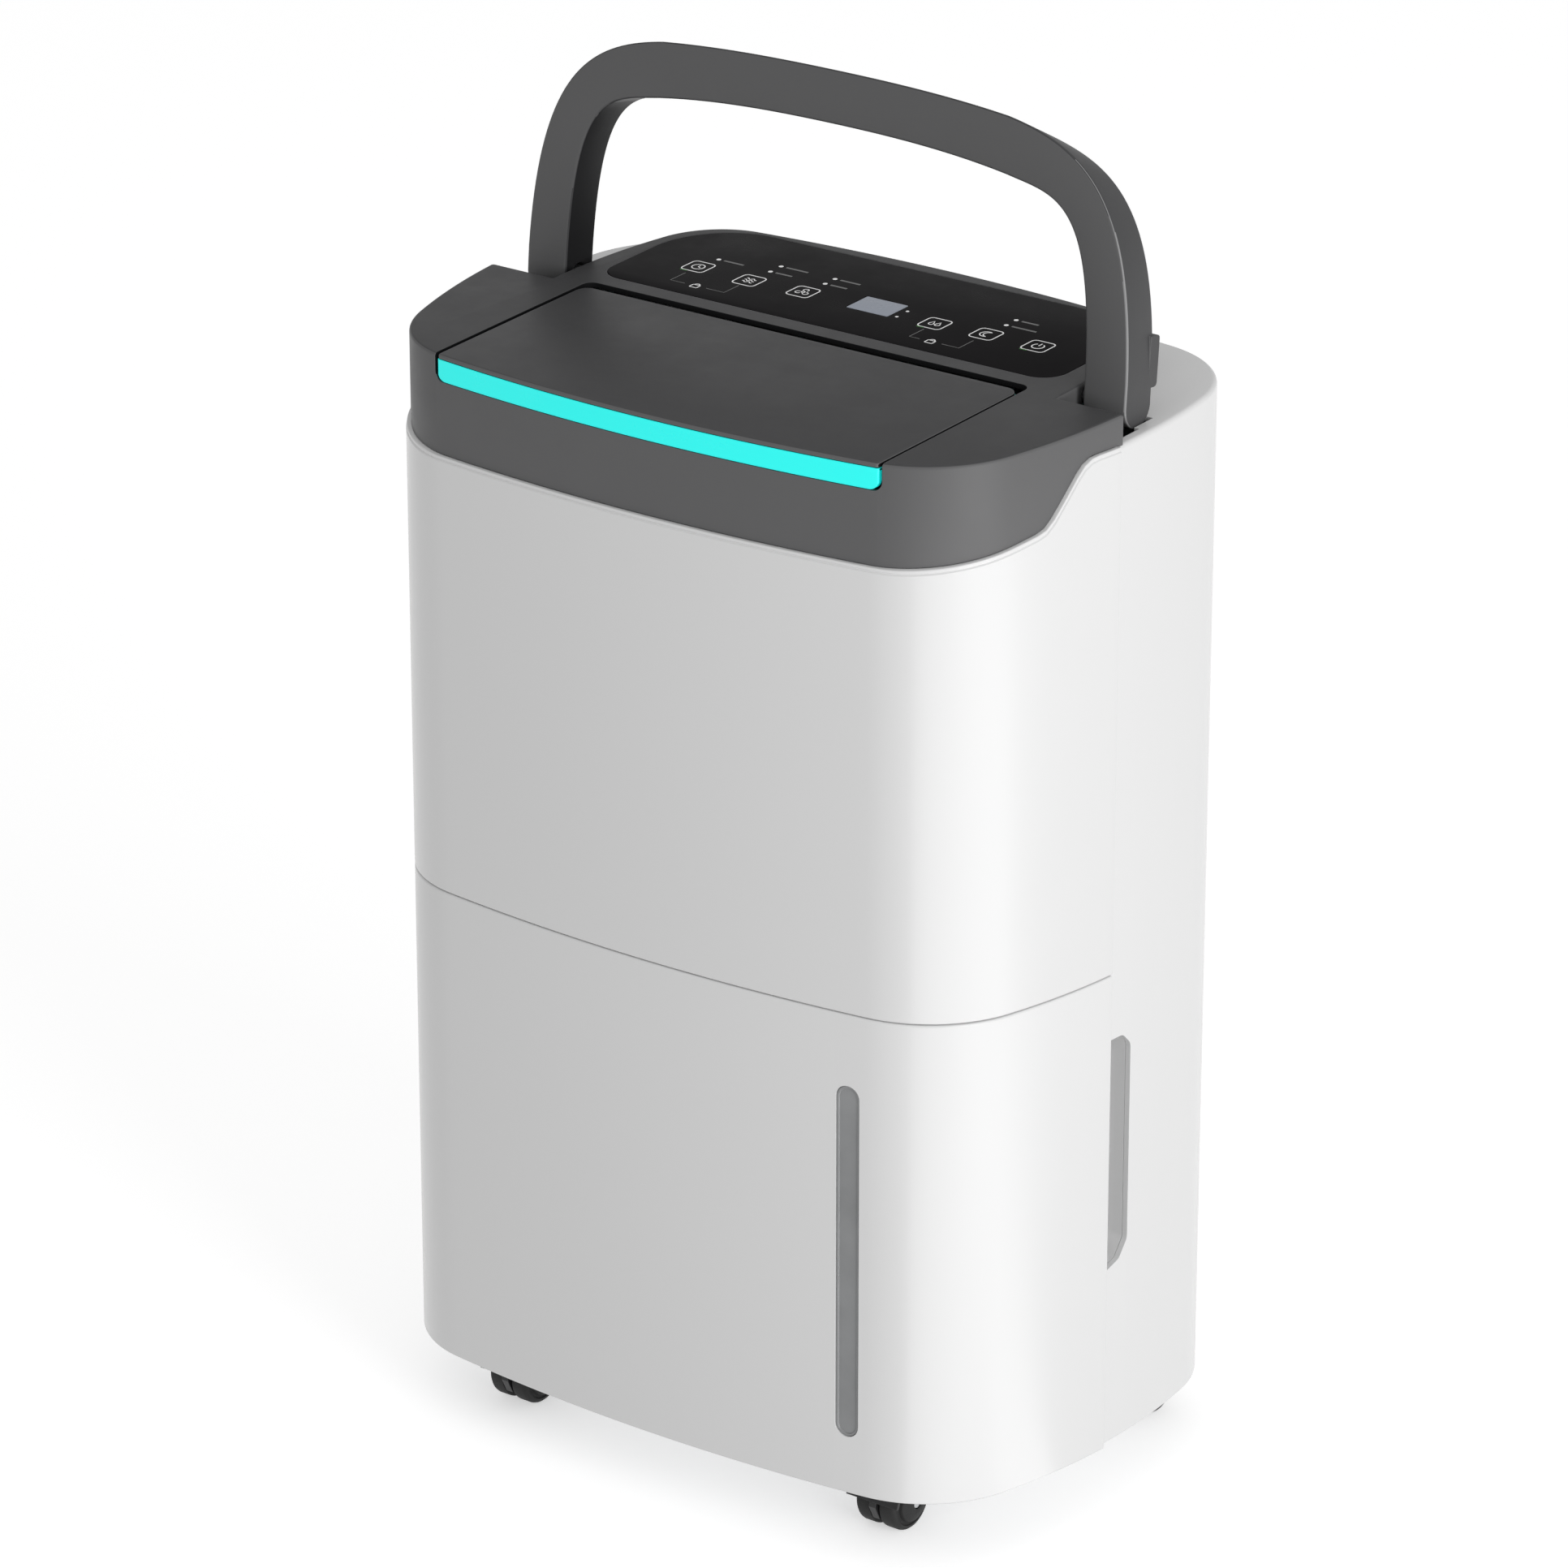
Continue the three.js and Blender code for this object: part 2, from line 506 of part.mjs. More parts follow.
// ---------------------------------------------------------------- water tank
const windowOutline = (grow) => [
  ...arc([WINDOW.x, WINDOW.z1 - WINDOW.halfWidth], WINDOW.halfWidth + grow, 0, Math.PI, 6),
  ...arc([WINDOW.x, WINDOW.z0 + WINDOW.halfWidth], WINDOW.halfWidth + grow, Math.PI, 2 * Math.PI, 6),
];

function tankFront() {
  const face = skin(0, WALL, SKIRT_Z, SEAM_Z - GAP);
  const topLip = skin(WALL - 0.5, 4, SEAM_Z - GAP - WALL, SEAM_Z - GAP);
  const slot = sweepY(windowOutline(GAP), FRONT_Y - OVERRUN, -80);
  return cut(common(join(face, topLip), beforeY(PARTING_Y - GAP)), slot);
}

function tankBucket() {
  const outer = common(raise(plan(7.5), TANK_FLOOR_Z, TANK_TOP_Z),
    box(-TANK_HALF, TANK_HALF, -DEPTH, TANK_BACK_Y, 0, HANDLE_TOP));
  const inner = common(raise(plan(7.5 + WALL), TANK_FLOOR_Z + WALL, HANDLE_TOP),
    box(WALL - TANK_HALF, TANK_HALF - WALL, -DEPTH, TANK_BACK_Y - WALL, 0, HANDLE_TOP));
  const ears = [[58, 60.5], [93.5, 96]].map(([x0, x1]) => box(x0, x1, FLOAT_PIVOT.y - 4, TANK_BACK_Y - 1,
    FLOAT_PIVOT.z - 6, FLOAT_PIVOT.z + 6));
  const bore = rod('x', [FLOAT_PIVOT.y, FLOAT_PIVOT.z], 2.4, 50, 104, 12);
  return cut(join(cut(outer, inner), ...ears), bore);
}

function tankLid() {
  const plate = common(raise(plan(7.5), TANK_TOP_Z + GAP, TANK_TOP_Z + GAP + WALL),
    box(-TANK_HALF, TANK_HALF, -DEPTH, TANK_BACK_Y, 0, HANDLE_TOP));
  const fillHole = rod('z', [SPOUT.x, SPOUT.y], 16, 0, HANDLE_TOP);
  const funnel = cut(rod('z', [SPOUT.x, SPOUT.y], 19, TANK_TOP_Z + GAP, TANK_TOP_Z + 7), fillHole);
  return join(cut(plate, fillHole), funnel);
}

function waterWindow() {
  const blank = sweepY(windowOutline(0), FRONT_Y - OVERRUN, -80);
  return common(blank, skin(0.6, WALL + 1.6, 0, HANDLE_TOP));
}

function tankFloat() {
  const { y, z } = FLOAT_PIVOT;
  const arm = box(64, 90, y - 14, y + 1, z - 1.5, z + 1.5);
  const block = box(62, 92, y - 40, y - 13, z - 14, z + 6);
  const magnetBoss = rod('x', [y - 26, z - 4], 4, 91, 98, 12);
  return join(rod('x', [y, z], 2, 59, 95, 12), arm, block, magnetBoss);
}

// ---------------------------------------------------------------- air path
function scrollOutline(inset) {
  const spiral = Array.from({ length: 17 }, (_, i) => {
    const share = i / 16;
    const angle = degrees(55 - share * 235);
    const radius = 82 + share * (SCROLL.half - 82) - inset;
    return [radius * Math.cos(angle), FAN.z + radius * Math.sin(angle)];
  });
  return [[SCROLL.half - inset, SCROLL.top + OVERRUN], [SCROLL.half - inset, SCROLL.top - 14], ...spiral,
    [inset - SCROLL.half, SCROLL.top + OVERRUN]];
}

function fanScroll() {
  const { y0, y1, top } = SCROLL;
  const outer = sweepY(scrollOutline(0), y0, y1 - WALL - GAP);
  const inner = sweepY(scrollOutline(2), y0 + 2, y1 + OVERRUN);
  const shaftHole = rod('y', [0, FAN.z], 7, y0 - 4, y0 + 4, 12);
  return cut(outer, inner, shaftHole, box(-WIDTH, WIDTH, -DEPTH, DEPTH, top, HANDLE_TOP));
}

// The flat rear cover of the scroll, with the inlet ring
function scrollCover() {
  const { y1, top } = SCROLL;
  const plate = sweepY(scrollOutline(0), y1 - WALL, y1);
  const inlet = rod('y', [0, FAN.z], FAN.inletR, y1 - OVERRUN, y1 + OVERRUN, 28);
  return cut(plate, inlet, box(-WIDTH, WIDTH, -DEPTH, DEPTH, top, HANDLE_TOP));
}

function blowerWheel() {
  const { z, wheelR, y0, y1 } = FAN;
  const disc = rod('y', [0, z], wheelR, y0, y0 + 2, 28);
  const eye = rod('y', [0, z], wheelR - 9, y1 - OVERRUN, y1 + OVERRUN, 28);
  const ring = cut(rod('y', [0, z], wheelR, y1 - 3, y1, 28), eye);
  const hub = rod('y', [0, z], 11, y0, y0 + 22, 12);
  const shaft = rod('y', [0, z], 4, -114, y0 + 1, 12);
  const blades = Array.from({ length: 18 }, (_, i) => {
    const blade = new THREE.BoxGeometry(8, y1 - y0 - 2, 1.4);
    blade.rotateY(degrees(28)).translate(wheelR - 5, (y0 + y1) / 2, 0);
    return solid(blade.rotateY((i / 18) * 2 * Math.PI).translate(0, 0, z));
  });
  return join(disc, ring, hub, shaft, ...blades);
}

function fanMotor() {
  const can = rod('y', [0, FAN.z], 36, -115.5, SCROLL.y0 - GAP, 20);
  return cut(can, rod('y', [0, FAN.z], 4.3, -114.5, DEPTH, 12));
}

// A block of flat fins on a spine: seen from above, a comb
function finPack(y0, y1) {
  const { half, z0, z1 } = COIL;
  const fins = 26;
  const pitch = (2 * half) / fins;
  const comb = Array.from({ length: fins }, (_, i) => {
    const x = -half + pitch * i;
    return [[x, y0], [x + pitch * 0.5, y0], [x + pitch * 0.5, y1 - 3], [x + pitch, y1 - 3]];
  }).flat();
  return raise([...comb, [half, y1], [-half, y1]], z0, z1);
}

function filterFrame() {
  const edge = 0.5;
  const panel = common(skin(REAR_INSET, 3, INTAKE.z0 + edge, INTAKE.z1 - edge),
    box(edge - INTAKE.half, INTAKE.half - edge, 80, DEPTH, 0, HANDLE_TOP));
  const rows = 8;
  const pitch = (INTAKE.z1 - INTAKE.z0 - 18) / rows;
  const columns = [[-114, -42], [-37, 37], [42, 114]];
  const slots = columns.flatMap(([x0, x1]) => Array.from({ length: rows }, (_, i) => {
    const z = INTAKE.z0 + 9 + pitch * (i + 0.5);
    return box(x0, x1, 80, DEPTH, z - pitch * 0.3, z + pitch * 0.3);
  }));
  return cut(panel, ...slots);
}

function filterMesh() {
  return common(skin(REAR_INSET + 3 + GAP, 1.5, INTAKE.z0 + 4, INTAKE.z1 - 4),
    box(4 - INTAKE.half, INTAKE.half - 4, 80, DEPTH, 0, HANDLE_TOP));
}

function dripTray() {
  const tray = cut(box(-112, 112, 52, 106, CHASSIS_Z + 3, CHASSIS_Z + 17),
    box(-110, 110, 54, 104, CHASSIS_Z + 5, CHASSIS_Z + 20));
  const { x, y } = SPOUT;
  const chute = cut(box(x - 9, x + 9, y - 9, 53, CHASSIS_Z + 3, CHASSIS_Z + 14),
    box(x - 7, x + 7, y - 7, 56, CHASSIS_Z + 5, CHASSIS_Z + 20));
  const nozzle = rod('z', [x, y], 6, CHASSIS_Z - 6, CHASSIS_Z + 4);
  return cut(join(tray, chute, nozzle), rod('z', [x, y], 4, 0, CHASSIS_Z + 9));
}

// ---------------------------------------------------------------- chassis and refrigeration
function chassisShelf() {
  const plate = common(raise(plan(9), CHASSIS_Z, CHASSIS_Z + WALL), box(-170, 170, -118, 105, 0, HANDLE_TOP));
  const holes = [[SPOUT.x, SPOUT.y, 7], [-60, 42, 6], [ACCUMULATOR.x, ACCUMULATOR.y, 6]];
  return cut(plate, ...holes.map(([x, y, r]) => rod('z', [x, y], r, 0, HANDLE_TOP, 12)));
}

function bulkhead() {
  const top = CHASSIS_Z - GAP;
  const half = WIDTH / 2 - REAR_INSET - GRIP_POCKET.depth - WALL - CLEAR;
  return join(box(-half, half, -9, -7, BASE_Z + WALL + GAP, top), box(-half, half, -9, 3, top - 2, top));
}

// The welded can on its tripod foot, with the accumulator strapped to it
function compressor() {
  const { x, y, radius, z0, z1 } = COMPRESSOR;
  const profile = [[0, z0], [radius - 12, z0], [radius - 3, z0 + 6], [radius, z0 + 16], [radius, z1 - 20],
    [radius - 4, z1 - 10], [radius - 15, z1 - 3], [0, z1]];
  const foot = raise(arc([x, y], 62, degrees(-150), degrees(90), 2), z0 + 1, z0 + 4);
  const can = turned(profile, x, y, 20);
  const holes = feet.map(([fx, fy]) => rod('z', [fx, fy], 4, 0, z0 + 9, 8));
  const strapZ = (ACCUMULATOR.z0 + ACCUMULATOR.z1) / 2;
  const strapEnd = ACCUMULATOR.x - ACCUMULATOR.radius + 2;
  const strap = box(x + radius - 4, strapEnd, y - 6, y + 4, strapZ - 8, strapZ + 8);
  return join(can, cut(foot, ...holes), strap, accumulator());
}

const feet = [90, 210, 330].map((a) => [COMPRESSOR.x + 52 * Math.cos(degrees(a)),
  COMPRESSOR.y + 52 * Math.sin(degrees(a))]);

function grommet([x, y]) {
  const z0 = BASE_Z + WALL + GAP;
  const z1 = COMPRESSOR.z0 + 1 - GAP;
  const profile = [[0, z0], [9, z0], [9, z0 + 4], [6.5, z0 + 6.5], [6.5, z1 - 5], [8, z1 - 3], [8, z1],
    [0, z1]];
  return turned(profile, x, y, 10);
}

function accumulator() {
  const { x, y, radius, z0, z1 } = ACCUMULATOR;
  const profile = [[0, z0], [radius - 8, z0 + 2], [radius, z0 + 12], [radius, z1 - 12], [5, z1 - 2], [5, z1],
    [0, z1]];
  return turned(profile, x, y, 18);
}

function dischargeLine() {
  const inlet = -COIL.half - GAP;
  return pipe([[-60, 42, COMPRESSOR.z1 + GAP], [-60, 42, 240], [-60, 42, 268], [-84, 42, 282],
    [-112, 50, 290], [-119, 66, 306], [-113, 69, 323], [inlet - 5, 69, 324], [inlet, 69, 324]], PIPE_R, 26);
}

function suctionLine() {
  const { x, y, z1 } = ACCUMULATOR;
  const outlet = COIL.half + GAP;
  return pipe([[x, y, z1 + GAP], [x, y, 240], [x, y, 268], [20, 40, 284], [90, 42, 288], [116, 60, 294],
    [121, 84, 306], [113, 93, 321], [outlet + 5, 93, 322], [outlet, 93, 322]], PIPE_R, 30);
}

// The drier cartridge with the capillary brazed into its lower neck
function filterDrier() {
  const { x, y, z } = DRIER;
  const cartridge = turned([[0, z], [2, z], [2, z + 8], [9, z + 18], [9, z + 62], [3, z + 72], [3, z + 80],
    [0, z + 80]], x, y, 14);
  const capillary = pipe([[x, y, z + 2], [x, y, z - 8], [x + 3, y + 6, z - 18], [x + 8, y + 22, z - 20],
    [x + 10, y + 44, z - 12], [x + 12, y + 52, z - 10]], 1.2, 16, 5);
  return join(cartridge, capillary);
}

function runCapacitor() {
  const z0 = BASE_Z + WALL + GAP;
  return join(rod('z', [76, 26], 18, z0, z0 + 62, 18), box(66, 72, 22, 30, z0 + 61, z0 + 70),
    box(80, 86, 22, 30, z0 + 61, z0 + 70));
}

// ---------------------------------------------------------------- controls
function controlOverlay() {
  const layer = cut(belowTop(0), belowTop(OVERLAY.thick));
  const plate = common(raise(overlayOutline(0), RIM_Z, HANDLE_TOP), layer);
  return cut(plate, box(DISPLAY.x0, DISPLAY.x1, DISPLAY.y0, DISPLAY.y1, 0, HANDLE_TOP));
}

function displayWindow() {
  const { x0, x1, y0, y1 } = DISPLAY;
  return common(box(x0 + GAP, x1 - GAP, y0 + GAP, y1 - GAP, 0, HANDLE_TOP),
    cut(belowTop(0), belowTop(OVERLAY.thick)));
}

function controlBoard() {
  const z0 = 507;
  const z1 = capTop(30) - WALL - 0.8;
  const board = box(-106, 106, 28, 82, z0, z0 + 1.6);
  const sensors = KEYS.xs.map((x) => rod('z', [x, KEYS.y], 4, z0 + 1, z1, 10));
  const module = box(DISPLAY.x0, DISPLAY.x1, DISPLAY.y0, DISPLAY.y1, z0 + 1, z1);
  const transformer = box(-40, -12, 58, 80, z0 + 1, z0 + 9);
  return join(board, ...sensors, module, transformer);
}

// ---------------------------------------------------------------- rear wall fittings
// A turned fitting whose height axis points straight out of the rear wall at (x, z)
function onRearWall(profile, { x, z }, sides) {
  const { y, turn } = rearWall(x);
  const fitting = geometryOf(turned(profile, 0, 0, sides));
  return solid(fitting.rotateX(-Math.PI / 2).rotateZ(-turn).translate(x, y, z));
}

function cordBushing() {
  const neck = CORD_INLET.radius - 0.6;
  return onRearWall([[4, -6], [neck, -6], [neck, GAP], [10, GAP], [10, 1.6], [7, 2.5], [4, 2.5], [4, -6]],
    CORD_INLET, 16);
}

function drainPlug() {
  const neck = DRAIN.radius - 0.8;
  const flange = DRAIN.radius + 2;
  const profile = [[0, -9], [neck, -9], [neck, GAP], [flange, GAP], [flange, 2], [4, 3], [0, 3]];
  return onRearWall(profile, DRAIN, 18);
}

// ---------------------------------------------------------------- casters
const axleCentre = ([, y]) => [y + CASTER_TRAIL, WHEEL_R];

function casterFork([x, y]) {
  const [ay, az] = axleCentre([x, y]);
  const hoodOuter = arc([ay, az], WHEEL_R + 2.4, degrees(10), degrees(170), 7);
  const hoodInner = arc([ay, az], WHEEL_R + 0.9, degrees(170), degrees(10), 7);
  const hood = sweepX([...hoodOuter, ...hoodInner], x - 14, x + 14);
  const web = sweepX([...arc([ay, az], WHEEL_R + 1.6, degrees(0), degrees(180), 7), [ay - 12, az - 7],
    [ay + 4, az - 8]], x - 1.8, x + 1.8);
  const collar = rod('z', [x, y], 7, az + 10, BASE_Z - CLEAR, 10);
  const stem = rod('z', [x, y], 4, az + 10, BASE_Z + 10, 10);
  const wheelRoom = cut(rod('x', [ay, az], WHEEL_R + 0.9, x - 15, x + 15, 20),
    box(x - 1.8, x + 1.8, y - 40, y + 40, 0, 60));
  return cut(join(hood, web, cut(join(collar, stem), wheelRoom)), rod('x', [ay, az], 2.8, x - 9, x + 9, 12));
}

function casterWheel([x, y], side) {
  const [ay, az] = axleCentre([x, y]);
  const profile = [[2.8, 2.4], [WHEEL_R, 2.4], [WHEEL_R, 9.5], [WHEEL_R - 3, 12.6], [2.8, 14], [2.8, 2.4]];
  const geometry = new THREE.LatheGeometry(profile.map(([r, h]) => new THREE.Vector2(r, h)), 18);
  geometry.rotateZ(side > 0 ? -Math.PI / 2 : Math.PI / 2);
  return solid(geometry.translate(x, ay, az));
}

function casterAxle([x, y]) {
  return rod('x', axleCentre([x, y]), 2.5, x - 13.6, x + 13.6, 12);
}

// ---------------------------------------------------------------- assembly
add('front_panel', frontPanel(), ...WHITE);
add('rear_housing', rearHousing(), ...WHITE);
add('grip_cup_left', gripCup(-1), ...WHITE);
add('grip_cup_right', gripCup(1), ...WHITE);
add('top_cover', topCover(), ...CHARCOAL);
add('base_pan', basePan(), ...PALE_GREY);
add('outlet_grille', outletGrille(), ...BLACK_PLASTIC);
add('outlet_flap', outletFlap(), ...CHARCOAL);
add('flap_liner', flapLiner(), 0x2cf8f2, 0.35);
add('flap_hinge_rod', rod('x', [HINGE_Y, HINGE_Z], HINGE_ROD_R, -114, 121.6, 10), ...STEEL);
add('flap_motor', join(rod('x', [HINGE_Y, HINGE_Z - 4], 9.5, 123, 133, 18),
  rod('x', [HINGE_Y, HINGE_Z], 3, 122, 124, 12)), ...STEEL);
add('handle', carryHandle(), ...CHARCOAL);
add('handle_pin_left', handlePin(-1), ...STEEL);
add('handle_pin_right', handlePin(1), ...STEEL);

add('tank_front', tankFront(), ...WHITE);
add('tank_bucket', tankBucket(), 0xdfe3e6, 0.3);
add('tank_lid', tankLid(), ...PALE_GREY);
add('water_window', waterWindow(), 0x9a9c9e, 0.25);
add('tank_float', tankFloat(), 0xe6e6e2, 0.7);

add('fan_scroll', fanScroll(), ...PALE_GREY);
add('scroll_cover', scrollCover(), ...PALE_GREY);
add('fan_motor', fanMotor(), ...STEEL);
add('blower_wheel', blowerWheel(), ...BLACK_PLASTIC);
add('evaporator_coil', finPack(84, 103), 0xc9ccd0, 0.4, 1);
add('condenser_coil', finPack(58, 79), 0xc9ccd0, 0.4, 1);
add('filter_frame', filterFrame(), ...WHITE);
add('filter_mesh', filterMesh(), 0x4a4d50, 0.9);
add('drip_tray', dripTray(), ...PALE_GREY);

add('chassis_shelf', chassisShelf(), ...PALE_GREY);
add('bulkhead', bulkhead(), ...PALE_GREY);
add('compressor', compressor(), 0x17181a, 0.4, 0.3);
feet.forEach((place, i) => add(`compressor_foot_${i + 1}`, grommet(place), ...BLACK_RUBBER));
add('discharge_line', dischargeLine(), ...COPPER);
add('suction_line', suctionLine(), ...COPPER);
add('filter_drier', filterDrier(), ...COPPER);
add('run_capacitor', runCapacitor(), 0xd8dadb, 0.5);
add('tank_switch', box(110, 134, -6.7, 4, 190, 204), ...BLACK_PLASTIC);

add('control_overlay', controlOverlay(), 0x121113, 0.15);
add('display_window', displayWindow(), 0xaab0bb, 0.2);
add('control_board', controlBoard(), 0x1f5a38, 0.6);

add('cord_bushing', cordBushing(), ...BLACK_RUBBER);
add('drain_plug', drainPlug(), ...BLACK_RUBBER);

for (const [corner, place] of Object.entries(CASTERS)) {
  add(`caster_${corner}_fork`, casterFork(place), ...BLACK_PLASTIC);
  add(`caster_${corner}_axle`, casterAxle(place), ...STEEL);
  add(`caster_${corner}_wheel_inner`, casterWheel(place, place[0] > 0 ? -1 : 1), ...BLACK_RUBBER);
  add(`caster_${corner}_wheel_outer`, casterWheel(place, place[0] > 0 ? 1 : -1), ...BLACK_RUBBER);
}

export default group;
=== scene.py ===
# Studio scene of the dehumidifier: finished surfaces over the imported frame.
# Shapes are written in millimetres in the frame's own axes (front towards -Y) and stored in metres.
import json
import math

import bpy
import bmesh
from mathutils import Matrix, Vector


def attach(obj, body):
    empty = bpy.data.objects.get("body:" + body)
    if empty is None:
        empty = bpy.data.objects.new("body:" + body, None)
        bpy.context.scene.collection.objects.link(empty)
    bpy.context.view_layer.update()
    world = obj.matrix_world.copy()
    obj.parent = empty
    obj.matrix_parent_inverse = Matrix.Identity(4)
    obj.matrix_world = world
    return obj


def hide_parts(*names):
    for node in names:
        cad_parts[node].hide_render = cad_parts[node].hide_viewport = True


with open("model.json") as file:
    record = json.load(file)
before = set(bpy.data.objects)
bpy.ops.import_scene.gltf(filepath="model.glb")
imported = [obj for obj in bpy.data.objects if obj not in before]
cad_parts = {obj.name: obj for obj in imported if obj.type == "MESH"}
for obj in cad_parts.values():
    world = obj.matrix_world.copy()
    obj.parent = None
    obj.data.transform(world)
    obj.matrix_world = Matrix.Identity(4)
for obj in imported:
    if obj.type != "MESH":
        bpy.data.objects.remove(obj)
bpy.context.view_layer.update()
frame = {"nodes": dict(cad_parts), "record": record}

# ---------------------------------------------------------------- driving dimensions, mm
WIDTH, DEPTH, WALL, GAP = 350.0, 237.0, 2.5, 0.3
BOW_R, SIDE_R, CORNER_R, REAR_CORNER_R = 906.0, 312.0, 56.4, 60.0
FRONT_Y, BACK_Y, WIDEST_Y = -120.0, 117.0, 14.4
REAR_INSET, CAP_INSET = 3.0, 2.2
SKIRT_Z, SEAM_Z, RIM_Z, SHELF_Z, SHELF_SLOPE = 31.0, 262.0, 469.0, 505.3, 0.03
CAP_FRONT_Z, CAP_SLOPE = 515.0, 0.04
PARTING_Y, WING_BACK_Y = -9.6, -5.9
CAP_EDGE = [(-140, 469), (-110, 469.2), (-81, 474.4), (-54, 479.6), (-34, 503), (-28, 506), (-9.6, 506)]
DECK_HALF, DECK_SIDE_R, DECK_BACK_Y, DECK_CORNER, DECK_LEDGE = 137.5, 258.0, 98.2, 38.0, 4.0
FLAP_HALF, FLAP_BACK_Y, FLAP_THICK, FLAP_CORNER = 118.8, -7.0, 2.0, 6.0
OPEN_HALF, OPEN_BACK_Y = 120.6, -1.0
STRIP_Z, STRIP_HALF, STRIP_CORNER = 503.3, 119.0, 4.5
HINGE_Y, HINGE_Z, HINGE_ROD_R = -12.0, 510.0, 1.6
PIVOT_Y, PIVOT_Z, HANDLE_THICK, HANDLE_TOP, PIN_R = 17.6, 514.5, 20.0, 634.6, 4.0
LEAN, GRIP_FALL, UNDER_FALL, PIN_ROOM = math.radians(5), 8.4, 2.5, 1.2
ARM_INNER, ARM_OUTER, ARM_BORE, WELL_BACK_Y = 141.1, 163.2, 152.6, 28.2
WELL_INNER, WELL_OUTER, WELL_MID_Y = 138.5, 166.4, 14.0
# An edge of the handle: the arm's x, its end's drop from the handle's top, then (x, drop) points for the bend,
# the shoulder and the grip.
OUTER_BEND = (ARM_OUTER, 109.2, ((ARM_OUTER - 2.4, 29.2), (135, 10.5)), (93, 3.8),
              ((62, 0.6), (31, 0), (0, 0)))
INNER_BEND = (ARM_INNER, 113.2, ((ARM_INNER - 1, 31.6), (120, 34.6)), (94, 29.7),
              ((63, 25), (31, 24.2), (0, 24.2)))
HANDLE_EDGE_R, ARM_STEPS = 1.3, 3
FOOT_TURNS = (1.5707, 1.45, 1.3, 1.1, 0.9, 0.7, 0.5, 0.3, 0.1)
REST_INNER, REST_DEPTH, REST_Z0, REST_Z1 = 152.0, 3.4, 521.0, 544.0
WINDOW_X, WINDOW_HALF, WINDOW_Z0, WINDOW_Z1, WINDOW_INSET = 106.8, 5.6, 59.0, 228.0, 0.6
INTAKE_HALF, INTAKE_Z0, INTAKE_Z1 = 124.0, 290.0, 482.0
POCKET_DEPTH, POCKET_Y, POCKET_Z0, POCKET_Z1 = 17.0, 8.0, 122.0, 229.0
CORD = (-78.0, 66.0, 6.6)
DRAIN = (84.0, 96.0, 9.0)
DISPLAY = (-5.0, 18.0, 34.6, 51.4)
PRINT_SUNK, PRINT_PROUD = 0.06, 0.05
OVERLAY_HALF, OVERLAY_Y, OVERLAY_RADII = 124, (8.8, 90), (12, 38)
CASTERS = {"front_left": (-105, -84), "front_right": (105, -84),
           "rear_left": (-128, 78), "rear_right": (128, 78)}
WHEEL_R, CASTER_TRAIL = 14.0, 8.0
LIP_R, SIDE_EDGE_R, FLANGE, SHELF_EDGE_R, CAP_EDGE_R = 0.9, 0.7, 6.0, 2.4, 1.6
THROUGH_FRONT = (FRONT_Y - 9, -80)
CAMERA_TURN, CAMERA_RISE = math.radians(36.8564), math.radians(22.0104)
CAMERA_AIM, CAMERA_DISTANCE, CAMERA_LENS = (-0.00018, -0.01671, 0.312), 3.3314, 171.48  # metres, lens in mm
KEY_PLACE, KEY_TARGET = (2.3, -0.75, 0.75), (0.1, 0.0, 0.3)  # metres
KEY_SIZE, KEY_POWER = (1.2, 1.6), 30  # metres, watts
CARD_TURNS = [math.radians(22 + 91 * k / 12) for k in range(13)]


def cap_top(y):
    return CAP_FRONT_Z + (y - FRONT_Y) * CAP_SLOPE


def shelf_top(y):
    return SHELF_Z + (y - PARTING_Y) * SHELF_SLOPE


def below_cap(drop):
    """A height that follows the cap's sloping top, a fixed drop under it."""
    return lambda x, y: cap_top(y) - drop


def level(height, x, y):
    """A height is a number or a function of the place."""
    return height(x, y) if callable(height) else height


# ---------------------------------------------------------------- meshes
def new_object(name, vertices, faces, scale=0.001):
    data = bpy.data.meshes.new(name)
    data.from_pydata([(x * scale, y * scale, z * scale) for x, y, z in vertices], [], faces)
    data.validate()
    obj = bpy.data.objects.new(name, data)
    bpy.context.scene.collection.objects.link(obj)
    bm = bmesh.new()
    bm.from_mesh(data)
    bmesh.ops.remove_doubles(bm, verts=bm.verts, dist=1e-7)
    bmesh.ops.recalc_face_normals(bm, faces=bm.faces)
    bm.to_mesh(data)
    bm.free()
    return obj


def ring_faces(first, second):
    n = len(first)
    return [(first[i], first[(i + 1) % n], second[(i + 1) % n], second[i]) for i in range(n)]


def stack(name, rings):
    """A closed body through rings of equal length, one above another, capped at both ends."""
    vertices, faces, index = [], [], []
    for ring in rings:
        index.append(list(range(len(vertices), len(vertices) + len(ring))))
        vertices.extend(ring)
    for lower, upper in zip(index, index[1:]):
        faces.extend(ring_faces(lower, upper))
    faces.append(tuple(reversed(index[0])))
    faces.append(tuple(index[-1]))
    return new_object(name, vertices, faces)


def band(name, line, profile):
    """A wall along line(inset, soft) in plan, with a profile of (inset, height, soft) points."""
    rows = []
    for inset, height, soft in profile:
        rows.append([(x, y, level(height, x, y)) for x, y in line(inset, soft)])
    count, length = len(rows), len(rows[0])
    vertices = [p for row in rows for p in row]
    faces = []
    for k in range(count):
        nxt = (k + 1) % count
        for i in range(length - 1):
            faces.append((k * length + i, k * length + i + 1, nxt * length + i + 1, nxt * length + i))
    faces.append(tuple(k * length for k in range(count)))
    faces.append(tuple(reversed([k * length + length - 1 for k in range(count)])))
    return new_object(name, vertices, faces)


